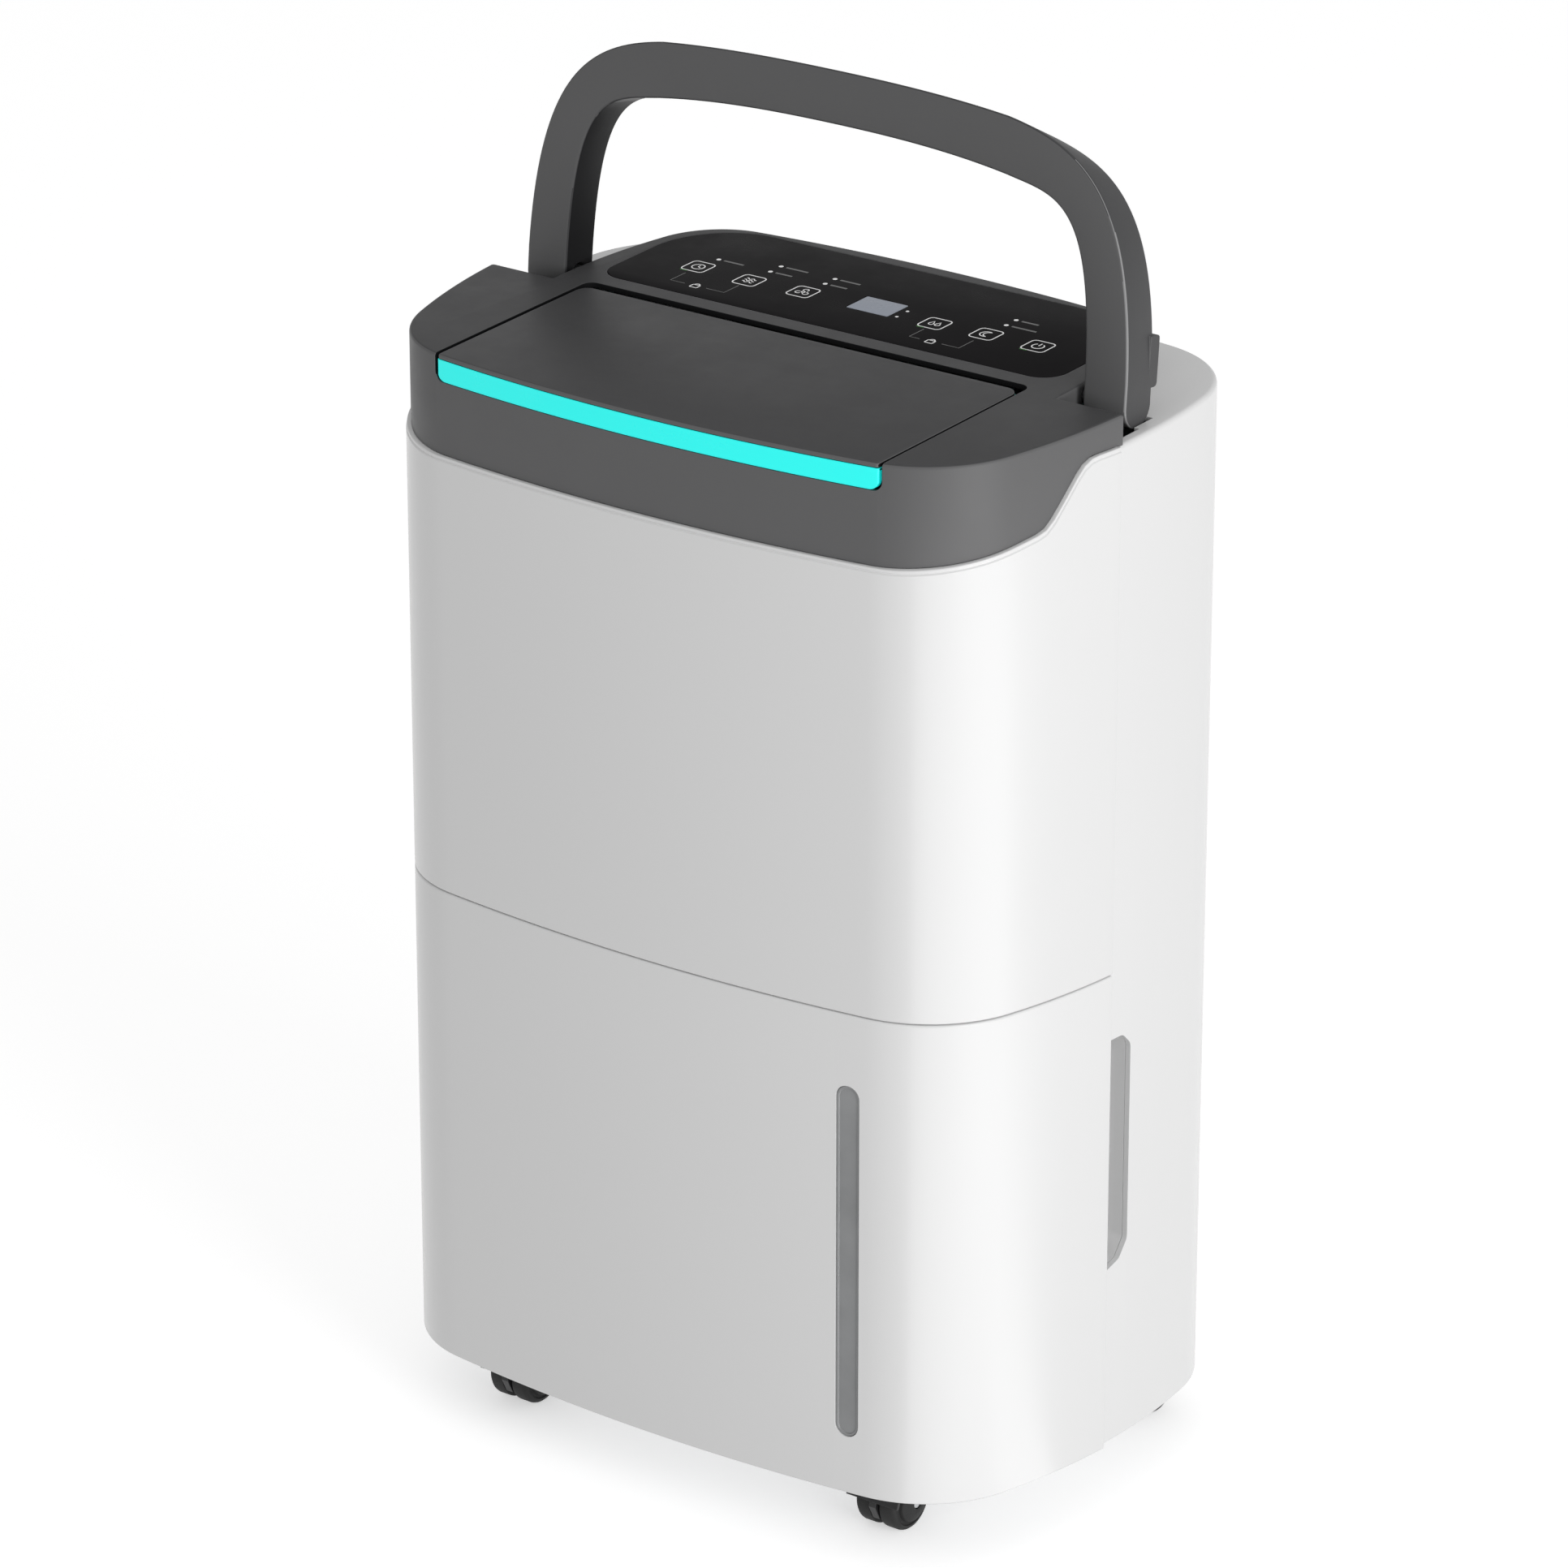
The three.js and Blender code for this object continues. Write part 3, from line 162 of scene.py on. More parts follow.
def boolean(obj, others, operation):
    for other in others:
        mod = obj.modifiers.new("boolean", "BOOLEAN")
        mod.operation = operation
        mod.solver = "MANIFOLD"
        mod.object = other
        graph = bpy.context.evaluated_depsgraph_get()
        made = bpy.data.meshes.new_from_object(obj.evaluated_get(graph))
        obj.modifiers.clear()
        old, obj.data = obj.data, made
        bpy.data.meshes.remove(old)
        data = other.data
        bpy.data.objects.remove(other)
        bpy.data.meshes.remove(data)
    return obj


def cut(obj, *others):
    return boolean(obj, others, "DIFFERENCE")


def join(obj, *others):
    return boolean(obj, others, "UNION")


def common(obj, *others):
    return boolean(obj, others, "INTERSECT")


# ---------------------------------------------------------------- outlines
def arc(cx, cy, r, a0, a1, n):
    return [(cx + r * math.cos(a0 + (a1 - a0) * i / n), cy + r * math.sin(a0 + (a1 - a0) * i / n))
            for i in range(n + 1)]


def corner_centre(bow, side, radius, towards, side_radius=SIDE_R):
    reach, span = side_radius - radius, math.hypot(bow[0] - side[0], bow[1] - side[1])
    along = (reach ** 2 - (BOW_R - radius) ** 2 + span ** 2) / (2 * span)
    across = math.sqrt(reach ** 2 - along ** 2)
    dx, dy = (bow[0] - side[0]) / span, (bow[1] - side[1]) / span
    found = [(side[0] + along * dx - s * across * dy, side[1] + along * dy + s * across * dx)
             for s in (1, -1)]
    found = [p for p in found if p[0] > 0]
    return max(found, key=lambda p: towards * p[1])


SIDE_C = (WIDTH / 2 - SIDE_R, WIDEST_Y)
FRONT_C = (0.0, FRONT_Y + BOW_R)
REAR_C = (0.0, BACK_Y + REAR_INSET - BOW_R)
FRONT_CORNER = corner_centre(FRONT_C, SIDE_C, CORNER_R, -1)
REAR_CORNER = corner_centre(REAR_C, SIDE_C, REAR_CORNER_R, 1)


def heading(a, b):
    return math.atan2(b[1] - a[1], b[0] - a[0])


A_FRONT = heading(FRONT_C, FRONT_CORNER)
A_SIDE0 = heading(SIDE_C, FRONT_CORNER)
A_SIDE1 = heading(SIDE_C, REAR_CORNER)
A_REAR = heading(REAR_C, REAR_CORNER)


def mirror(points):
    return [(-x, y) for x, y in reversed(points)]


def front_half(inset, y_end, steps=14):
    """From the middle of the front round to the side, ending at y_end."""
    end = math.asin((y_end - WIDEST_Y) / (SIDE_R - inset))
    return (arc(*FRONT_C, BOW_R - inset, -math.pi / 2, A_FRONT, 22)[:-1]
            + arc(*FRONT_CORNER, CORNER_R - inset, A_FRONT, A_SIDE0, 22)[:-1]
            + arc(*SIDE_C, SIDE_R - inset, A_SIDE0, end, steps))


def rear_half(inset, y_start, steps=20):
    """From the side at y_start round to the middle of the back."""
    start = math.asin((y_start - WIDEST_Y) / (SIDE_R - inset))
    return (arc(*SIDE_C, SIDE_R - inset, start, A_SIDE1, steps)[:-1]
            + arc(*REAR_CORNER, REAR_CORNER_R - inset, A_SIDE1, A_REAR, 22)[:-1]
            + arc(*REAR_C, BOW_R - inset, A_REAR, math.pi / 2, 22))


def body_plan(inset):
    right = front_half(inset, WIDEST_Y)[:-1] + rear_half(inset, WIDEST_Y)
    return right + mirror(right)[1:-1]


ROUND = [0.0, 0.3, 0.6, 0.9, 1.2, math.pi / 2]


def front_line(y_end, radius):
    """Stations of a front wall, whose last few turn the vertical edge at y_end with a small radius."""
    def line(inset, soft):
        right = front_half(inset, y_end - radius, 14)[:-1]
        for a in ROUND:
            y = y_end - radius * (1 - math.sin(a))
            at = inset + (radius * (1 - math.cos(a)) if soft else 0)
            right.append(front_half(at, y, 1)[-1])
        return mirror(right)[:-1] + right
    return line


def lip(inset, height, radius, top):
    """Section points round an outer lip, rising when top, with its edge at (inset, height)."""
    sign = 1 if top else -1
    points = []
    for a in (ROUND if top else ROUND[::-1]):
        drop = sign * radius * (1 - math.sin(a))
        points.append((inset + radius * (1 - math.cos(a)),
                       lambda x, y, d=drop: level(height, x, y) - d, True))
    return points


def rounded(x0, x1, y0, y1, radii, n=8):
    fl, fr, br, bl = [max(r, 0.02) for r in radii]
    return (arc(x0 + fl, y0 + fl, fl, math.pi, 1.5 * math.pi, n)
            + arc(x1 - fr, y0 + fr, fr, 1.5 * math.pi, 2 * math.pi, n)
            + arc(x1 - br, y1 - br, br, 0, math.pi / 2, n)
            + arc(x0 + bl, y1 - bl, bl, math.pi / 2, math.pi, n))


def slab(name, outline, bottom, top, round_bottom=0.0, round_top=0.0):
    """A plate whose outline(inset) is drawn in at its rounded edges."""
    rings = []
    low = ROUND[::-1] if round_bottom else [0.0]
    high = ROUND if round_top else [0.0]
    for a in low:
        d = round_bottom * (1 - math.sin(a)) if round_bottom else 0
        ring = outline(round_bottom * (1 - math.cos(a)))
        rings.append([(x, y, level(bottom, x, y) + d) for x, y in ring])
    for a in high:
        d = round_top * (1 - math.sin(a)) if round_top else 0
        ring = outline(round_top * (1 - math.cos(a)))
        rings.append([(x, y, level(top, x, y) - d) for x, y in ring])
    return stack(name, rings)


def sweep_x(name, outline, x0, x1):
    return stack(name, [[(x0, y, z) for y, z in outline], [(x1, y, z) for y, z in outline]])


def sweep_y(name, outline, y0, y1):
    return stack(name, [[(x, y0, z) for x, z in outline], [(x, y1, z) for x, z in outline]])


def block(name, x0, x1, y0, y1, z0, z1):
    return sweep_x(name, [(y0, z0), (y1, z0), (y1, z1), (y0, z1)], x0, x1)


def rod(name, axis, centre, radius, start, end, sides=32):
    u, v = centre
    circle = arc(u, v, radius, 0, 2 * math.pi, sides)[:-1]
    place = {"x": lambda a, b, t: (t, a, b), "y": lambda a, b, t: (a, t, b)}[axis]
    return stack(name, [[place(a, b, t) for a, b in circle] for t in (start, end)])


def fillet(points, radius, n=6):
    """A polyline with its inner corners rounded."""
    made = [points[0]]
    for before, corner, after in zip(points, points[1:], points[2:]):
        a, b, c = Vector(before), Vector(corner), Vector(after)
        u, v = (a - b).normalized(), (c - b).normalized()
        half = math.acos(max(-1, min(1, u.dot(v)))) / 2
        reach = min(radius / math.tan(half), 0.45 * (a - b).length, 0.45 * (c - b).length)
        start, end = b + u * reach, b + v * reach
        for i in range(n + 1):
            t = i / n
            p = (1 - t) ** 2 * start + 2 * t * (1 - t) * b + t ** 2 * end
            made.append((p.x, p.y))
    made.append(points[-1])
    return made


EDGE_LINE = fillet(CAP_EDGE, 14)


def cap_edge(y):
    for (y0, z0), (y1, z1) in zip(EDGE_LINE, EDGE_LINE[1:]):
        if y0 <= y <= y1:
            return z0 + (z1 - z0) * (y - y0) / (y1 - y0)
    return EDGE_LINE[-1][1] if y > 0 else EDGE_LINE[0][1]


# ---------------------------------------------------------------- materials
def material(name, base, rough, variation=0.03, rough_variation=0.05, bump=0.02, grain=900.0, edge=0.12,
             edge_radius=0.6, metallic=0.0, coat=0.0, specular=0.5, transmission=0.0, ior=1.46, emission=None,
             emission_strength=0.0, blotch=9.0, bevel=True):
    """Moulded or painted finish: slow tone drift, fine grain, uneven gloss and worn, softened edges."""
    mat = bpy.data.materials.new(name)
    mat.use_nodes = True
    nt = mat.node_tree
    nodes, links = nt.nodes, nt.links
    shader = nodes["Principled BSDF"]
    shader.inputs["Metallic"].default_value = metallic
    shader.inputs["Coat Weight"].default_value = coat
    shader.inputs["Coat Roughness"].default_value = 0.08
    shader.inputs["Specular IOR Level"].default_value = specular
    shader.inputs["Transmission Weight"].default_value = transmission
    shader.inputs["IOR"].default_value = ior
    if emission:
        shader.inputs["Emission Color"].default_value = (*emission, 1)
        shader.inputs["Emission Strength"].default_value = emission_strength
    coords = nodes.new("ShaderNodeTexCoord")

    def noise(scale, detail, roughness=0.5):
        node = nodes.new("ShaderNodeTexNoise")
        node.inputs["Scale"].default_value = scale
        node.inputs["Detail"].default_value = detail
        node.inputs["Roughness"].default_value = roughness
        links.new(coords.outputs["Object"], node.inputs["Vector"])
        return node.outputs["Fac"]

    def ramp(value, low, high, at0=0.3, at1=0.7):
        node = nodes.new("ShaderNodeMapRange")
        node.inputs["From Min"].default_value = at0
        node.inputs["From Max"].default_value = at1
        node.inputs["To Min"].default_value = low
        node.inputs["To Max"].default_value = high
        links.new(value, node.inputs["Value"])
        return node.outputs["Result"]

    slow, fine = noise(blotch, 3.0), noise(grain, 2.0, 0.6)
    tone = nodes.new("ShaderNodeMix")
    tone.data_type = "RGBA"
    tone.inputs["A"].default_value = (*[c * (1 - variation) for c in base], 1)
    tone.inputs["B"].default_value = (*[min(c * (1 + variation), 1) for c in base], 1)
    links.new(slow, tone.inputs["Factor"])
    colour = tone.outputs["Result"]
    if edge and bevel:
        soft = nodes.new("ShaderNodeBevel")
        soft.samples = 4
        soft.inputs["Radius"].default_value = edge_radius * 0.001
        geometry = nodes.new("ShaderNodeNewGeometry")
        dot = nodes.new("ShaderNodeVectorMath")
        dot.operation = "DOT_PRODUCT"
        links.new(soft.outputs["Normal"], dot.inputs[0])
        links.new(geometry.outputs["Normal"], dot.inputs[1])
        wear = ramp(dot.outputs["Value"], 1.0, 0.0, 0.86, 0.998)
        worn = nodes.new("ShaderNodeMix")
        worn.data_type = "RGBA"
        worn.inputs["B"].default_value = (*[min(c * (1 + edge) + 0.01 * edge, 1) for c in base], 1)
        links.new(wear, worn.inputs["Factor"])
        links.new(colour, worn.inputs["A"])
        colour = worn.outputs["Result"]
    links.new(colour, shader.inputs["Base Color"])
    gloss = ramp(noise(blotch * 4, 4.0, 0.65), max(rough - rough_variation, 0.02), rough + rough_variation)
    links.new(gloss, shader.inputs["Roughness"])
    height = nodes.new("ShaderNodeBump")
    height.inputs["Strength"].default_value = bump
    height.inputs["Distance"].default_value = 0.0004
    links.new(fine, height.inputs["Height"])
    if bevel:
        smooth = nodes.new("ShaderNodeBevel")
        smooth.samples = 4
        smooth.inputs["Radius"].default_value = edge_radius * 0.001
        links.new(smooth.outputs["Normal"], height.inputs["Normal"])
    links.new(height.outputs["Normal"], shader.inputs["Normal"])
    return mat


SATIN = {"bump": 0.08, "grain": 2600, "edge_radius": 0.8}
PRINTED = {"bump": 0.02, "edge": 0.0, "bevel": False}

WHITE = material("white_gloss_shell", (0.82, 0.82, 0.82), 0.24, variation=0.004, rough_variation=0.02,
                 bump=0.006, grain=1400, bevel=False)
CHARCOAL = material("charcoal_satin", (0.128, 0.128, 0.130), 0.46, edge=0.7, specular=0.3, **SATIN)
# Painted shade: a darker copy of the charcoal for faces that point up, so tops read darker than fronts.
CHARCOAL_TOP_PAINTED_SHADE = material("charcoal_satin_top_painted_shade", (0.076, 0.076, 0.078), 0.42, edge=0.7, specular=0.2, **SATIN)
# Painted shade: a darker copy of the charcoal for the handle's sides, top and underside, so its front reads
# lighter.
CHARCOAL_SIDE_PAINTED_SHADE = material("charcoal_satin_side_painted_shade", (0.064, 0.064, 0.066), 0.46, edge=0.7, specular=0.3, **SATIN)
CHARCOAL_SHADE = material("charcoal_satin_shade", (0.014, 0.014, 0.015), 0.5, variation=0.05, edge=0.7,
                          specular=0.25, **SATIN)
# Painted highlight: a light grey charcoal for the right arm's front-outer edge faces.
CHARCOAL_PAINTED_HIGHLIGHT = material("charcoal_satin_painted_highlight", (0.24, 0.24, 0.243), 0.4, bump=0.02, grain=2600, edge=0.0,
                         bevel=False)
# Painted shade: near-black charcoal for the walls and edges round the flap's gap, where there is only shade.
CHARCOAL_PAINTED_GAP_SHADE = material("charcoal_satin_painted_gap_shade", (0.012, 0.012, 0.013), 0.6, variation=0.05, bump=0.08,
                         grain=2600, edge=0.0, specular=0.1)
# Painted glow: the liner's emission makes the cyan read bright, though the liner is no lamp.
CYAN = material("cyan_painted_glow", (0.02, 0.86, 0.80), 0.3, variation=0.02, edge=0.0,
                emission=(0.0, 1.0, 0.95), emission_strength=0.3)
CYAN_SHADE = material("cyan_unlit", (0.01, 0.30, 0.28), 0.4, bump=0.03, edge=0.0)
GLASS_BLACK = material("black_gloss_overlay", (0.008, 0.007, 0.008), 0.3, variation=0.1, bump=0.004, edge=0.4,
                       specular=0.02)
DISPLAY_GREY = material("display_grey", (0.40, 0.44, 0.52), 0.25, variation=0.04, bump=0.01, edge=0.0)
PALE = material("pale_plastic", (0.55, 0.56, 0.57), 0.5, bump=0.1, grain=1500)
CLEAR = material("tank_clear", (0.80, 0.85, 0.88), 0.2, transmission=0.6)
SMOKE = material("window_smoke", (0.27, 0.275, 0.28), 0.14, variation=0.25, bump=0.35, grain=55, blotch=40,
                 edge=0.5)
BLACK = material("black_plastic", (0.018, 0.018, 0.019), 0.42, variation=0.12, bump=0.15, grain=1800,
                 edge=0.5)
RUBBER = material("black_rubber", (0.014, 0.014, 0.014), 0.72, variation=0.15, bump=0.3, grain=1500, edge=0.6)
STEEL = material("steel", (0.55, 0.56, 0.57), 0.34, metallic=1.0, bump=0.06, grain=1200)
COPPER = material("copper", (0.72, 0.36, 0.20), 0.32, metallic=1.0, variation=0.14, bump=0.06)
ALUMINIUM = material("fin_aluminium", (0.66, 0.68, 0.70), 0.42, metallic=1.0, bump=0.1)
PAINT = material("compressor_paint", (0.012, 0.012, 0.014), 0.34, bump=0.12, edge=0.6, coat=0.3)
FOAM = material("float_foam", (0.74, 0.74, 0.70), 0.8, bump=0.5, grain=700)
NET = material("filter_net", (0.045, 0.047, 0.05), 0.8, bump=0.8, grain=1600)
BOARD = material("board_green", (0.018, 0.11, 0.05), 0.45, bump=0.1)
# White print; its emission is a painted glow that brightens the marks, though they are not lit from within.
PRINT = material("printed_white_painted_glow", (0.75, 0.75, 0.75), 0.5, emission=(1, 1, 1), emission_strength=0.25,
                 **PRINTED)
PRINT_GREY = material("printed_grey", (0.22, 0.22, 0.22), 0.5, **PRINTED)
PRINT_GREEN = material("printed_green", (0.03, 0.20, 0.02), 0.5, **PRINTED)


def paint_shade_and_highlight(obj, *rules):
    """Paints light and shade onto the faces that pass a test by giving them another material. The test sees a
    face's centre in mm and its normal.
    """
    for look, test in rules:
        obj.data.materials.append(look)
        index = len(obj.data.materials) - 1
        for face in obj.data.polygons:
            if test(face.center * 1000, face.normal):
                face.material_index = index


SLOT_FINISH = {"white_shell": WHITE, "charcoal_cap": CHARCOAL, "cyan_liner": CYAN,
               "black_overlay": GLASS_BLACK, "display_grey": DISPLAY_GREY, "pale_plastic": PALE,
               "tank_clear": CLEAR, "window_smoke": SMOKE,
               "black_plastic": BLACK, "black_rubber": RUBBER, "steel": STEEL, "copper": COPPER,
               "fin_aluminium": ALUMINIUM, "compressor_paint": PAINT, "float_foam": FOAM, "filter_net": NET,
               "board_green": BOARD}


def finish(obj, slot, body, nodes=(), look=None, angle=35.0):
    """Shades a piece, gives it its finish, hangs it on its body and hides the frame nodes it stands for."""
    data = obj.data
    data.materials.clear()
    data.materials.append(look or SLOT_FINISH[slot])
    data.shade_smooth()
    data.set_sharp_from_angle(angle=math.radians(angle))
    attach(obj, body)
    if nodes:
        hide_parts(*nodes)
    return obj


# ---------------------------------------------------------------- front shells
def front_panel():
    def under(drop):
        return lambda x, y: cap_edge(y) - drop
    bottom, top = SEAM_Z + GAP, under(0)
    step = [(0, under(2.3), True), (0.75, under(1.8), True), (0.8, under(1.5), True), (0.3, under(1.2), True)]
    profile = (lip(0, bottom, LIP_R, False) + step + lip(0.3, top, 0.5, True)
               + [(WALL, top, False), (WALL, bottom + WALL, False), (FLANGE + 0.5, bottom + WALL, False),
                  (FLANGE + 0.5, bottom, False)])
    shell = band("front_panel_shell", front_line(PARTING_Y - GAP, SIDE_EDGE_R), profile)
    finish(shell, "white_shell", "housing", ["front_panel"])


def window_outline(grow, n=14):
    return (arc(WINDOW_X, WINDOW_Z1 - WINDOW_HALF, WINDOW_HALF + grow, 0, math.pi, n)
            + arc(WINDOW_X, WINDOW_Z0 + WINDOW_HALF, WINDOW_HALF + grow, math.pi, 2 * math.pi, n))


def tank_front():
    bottom, top = SKIRT_Z, SEAM_Z - GAP
    profile = (lip(0, bottom, LIP_R, False) + lip(0, top, LIP_R, True)
               + [(FLANGE, top, False), (FLANGE, top - WALL, False), (WALL, top - WALL, False),
                  (WALL, bottom, False)])
    shell = band("tank_front_shell", front_line(PARTING_Y - GAP, SIDE_EDGE_R), profile)
    cut(shell, sweep_y("slot", window_outline(GAP), *THROUGH_FRONT))
    finish(shell, "white_shell", "tank", ["tank_front"])


def rear_plan(start):
    """The rear's outline in plan, open at the parting line, as a function of the inset."""
    def outline(inset):
        right = rear_half(REAR_INSET + inset, start)
        return right + mirror(right)[1:]
    return outline


def rear_housing():
    outline = rear_plan(PARTING_Y)
    shell = slab("rear_housing_shell", outline, SKIRT_Z, lambda x, y: shelf_top(y), LIP_R, SHELF_EDGE_R)
    cut(shell, slab("hollow", lambda d: rear_plan(PARTING_Y - 5)(WALL + d), SKIRT_Z - 5,
                    lambda x, y: shelf_top(y) - WALL))
    well_steps = ((WELL_OUTER, WING_BACK_Y + GAP, WELL_MID_Y), (ARM_OUTER + 0.6, WELL_MID_Y - 1, WELL_BACK_Y))
    wells = [side_block("well", side, WELL_INNER, x1, y0, y1, SHELF_Z - 9, 560)
             for side in (1, -1) for x1, y0, y1 in well_steps]
    cut(shell, slab("deck_hole", lambda d: deck_outline(DECK_LEDGE), 400, 600),
        *[grip("window", side, 0) for side in (1, -1)], *wells,
        block("intake", -INTAKE_HALF, INTAKE_HALF, 80, DEPTH, INTAKE_Z0, INTAKE_Z1),
        rod("cord_hole", "y", CORD[:2], CORD[2] + GAP, 80, DEPTH),
        rod("drain_hole", "y", DRAIN[:2], DRAIN[2] + GAP, 80, DEPTH))
    finish(shell, "white_shell", "housing", ["rear_housing"])
    for name, side in (("grip_cup_left", -1), ("grip_cup_right", 1)):
        within = slab("within", lambda d: outline(WALL + GAP + d), SKIRT_Z, SHELF_Z)
        cup = common(grip(name + "_shell", side, WALL), within)
        finish(cut(cup, grip("room", side, 0)), "white_shell", "housing", [name])


def side_block(name, side, x0, x1, *rest):
    return block(name, x0, x1, *rest) if side > 0 else block(name, -x1, -x0, *rest)


def side_sweep(name, side, outline, x0, x1):
    return sweep_x(name, outline, x0, x1) if side > 0 else sweep_x(name, outline, -x1, -x0)


def grip(name, side, grow):
    x0 = WIDTH / 2 - REAR_INSET - POCKET_DEPTH - grow
    y1 = POCKET_Y + grow
    profile = [(PARTING_Y - 1, POCKET_Z0 - 6 - grow), (y1 - 6, POCKET_Z0 - 2 - grow), (y1, POCKET_Z0 + 6),
               (y1, POCKET_Z1 - 6), (y1 - 6, POCKET_Z1 + grow), (PARTING_Y - 1, POCKET_Z1 + grow)]
    profile = [profile[0]] + fillet(profile, 5)[1:-1] + [profile[-1]]
    return side_sweep(name, side, profile, x0, WIDTH / 2 + 9)


# ---------------------------------------------------------------- cap
def deck_outline(inset, start=WING_BACK_Y - 30):
    bow, side = (0.0, DECK_BACK_Y - BOW_R), (DECK_HALF - DECK_SIDE_R, 0.0)
    corner = corner_centre(bow, side, DECK_CORNER, 1, DECK_SIDE_R)
    side_end, bow_end = heading(side, corner), heading(bow, corner)
    right = ([(DECK_HALF - inset, start)] + arc(*side, DECK_SIDE_R - inset, 0, side_end, 8)
             + arc(*corner, DECK_CORNER - inset, side_end, bow_end, 20)[1:]
             + arc(*bow, BOW_R - inset, bow_end, math.pi / 2, 16)[1:])
    return right + mirror(right)[1:]


def cap_outline(inset):
    """Front bow, wings and control deck in one outline."""
    end = WING_BACK_Y - inset
    right = front_half(CAP_INSET + inset, end - 1.2, 14)[:-1]
    tip = front_half(CAP_INSET + inset, end, 1)[-1]
    near = front_half(CAP_INSET + inset, end - 1.2, 1)[-1]
    right += [(near[0] + (tip[0] - near[0]) * t * t - 1.2 * (1 - math.sqrt(max(0, 1 - t * t))),
               near[1] + 1.2 * t) for t in (0.0, 0.35, 0.65, 0.88, 1.0)]
    deck = deck_outline(inset, end)
    return mirror(right)[:-1] + right + deck


def strip_corners(half, z):
    """The two lower corners of the cyan strip, or of the opening that it shows in."""
    r = STRIP_CORNER
    return (arc(-half + r, z + r, r, math.pi, 1.5 * math.pi, 8)
            + arc(half - r, z + r, r, 1.5 * math.pi, 2 * math.pi, 8))


def top_cover():
    cover = slab("top_cover_shell", cap_outline, RIM_Z - 20, below_cap(0), 0, CAP_EDGE_R)
    hollow = slab("hollow", lambda d: cap_outline(WALL), RIM_Z - 30, below_cap(WALL))
    below = [(y, z + GAP) for y, z in EDGE_LINE]
    step_y = PARTING_Y + 0.1
    behind = [(step_y, below[-1][1]), (step_y, shelf_top(PARTING_Y) + GAP), (150, shelf_top(150) + GAP)]
    under = [(-150, 400), (-150, below[0][1])] + below + behind + [(150, 400)]
    floor_z = STRIP_Z - 0.4

    def opening(d):
        return rounded(-OPEN_HALF, OPEN_HALF, FRONT_Y + 11, OPEN_BACK_Y, (0.1, 0.1, 5.0, 5.0))
    strip = [(-OPEN_HALF, 600)] + strip_corners(OPEN_HALF, floor_z) + [(OPEN_HALF, 600)]
    cut(cover, hollow, sweep_x("under", under, -WIDTH, WIDTH), slab("opening", opening, floor_z, 600),
        sweep_y("strip", strip, -150, -95),
        slab("recess", lambda d: overlay_outline(GAP), below_cap(0.9), below_cap(-9)),
        rod("pins", "x", (PIVOT_Y, PIVOT_Z), PIN_R + PIN_ROOM, -DECK_HALF - 9, DECK_HALF + 9))
    finish(cover, "charcoal_cap", "housing", ["top_cover"])

    def gap_shade_faces(c, n):
        inside = abs(c.x) < OPEN_HALF + 0.1 and FRONT_Y + 5 < c.y < OPEN_BACK_Y + 0.1 and c.z > STRIP_Z
        return inside and abs(n.z) < 0.5 and (n.y < -0.05 or abs(n.x) > 0.9)
    # Painted shade: the cap's upward faces take a darker charcoal, and the opening's side and back walls a
    # near-black one, standing in for the shade in the flap's gap.
    paint_shade_and_highlight(cover, (CHARCOAL_TOP_PAINTED_SHADE, lambda c, n: n.z > 0.7), (CHARCOAL_PAINTED_GAP_SHADE, gap_shade_faces))


def overlay_outline(grow):
    near, far = OVERLAY_RADII[0] + grow, OVERLAY_RADII[1] + grow
    return rounded(-OVERLAY_HALF - grow, OVERLAY_HALF + grow, OVERLAY_Y[0] - grow, OVERLAY_Y[1] + grow,
                   (near, near, far, far), 14)


# ---------------------------------------------------------------- flap
def flap_outline(inset, half=FLAP_HALF, back=FLAP_BACK_Y, corner=FLAP_CORNER, nose=1.6, reach=0.0):
    radius = BOW_R - CAP_INSET - inset - reach
    half, back, corner = half - inset, back - inset, max(corner - inset, 0.3)
    span = math.asin((half - nose) / radius)
    front = arc(*FRONT_C, radius, -math.pi / 2 - span, -math.pi / 2 + span, 44)
    y = front[-1][1]
    right = arc(half - nose, y + nose, nose, -math.pi / 2 + span, 0, 5)[1:]
    return (mirror(right) + front + right + arc(half - corner, back - corner, corner, 0, math.pi / 2, 8)
            + arc(corner - half, back - corner, corner, math.pi / 2, math.pi, 8))


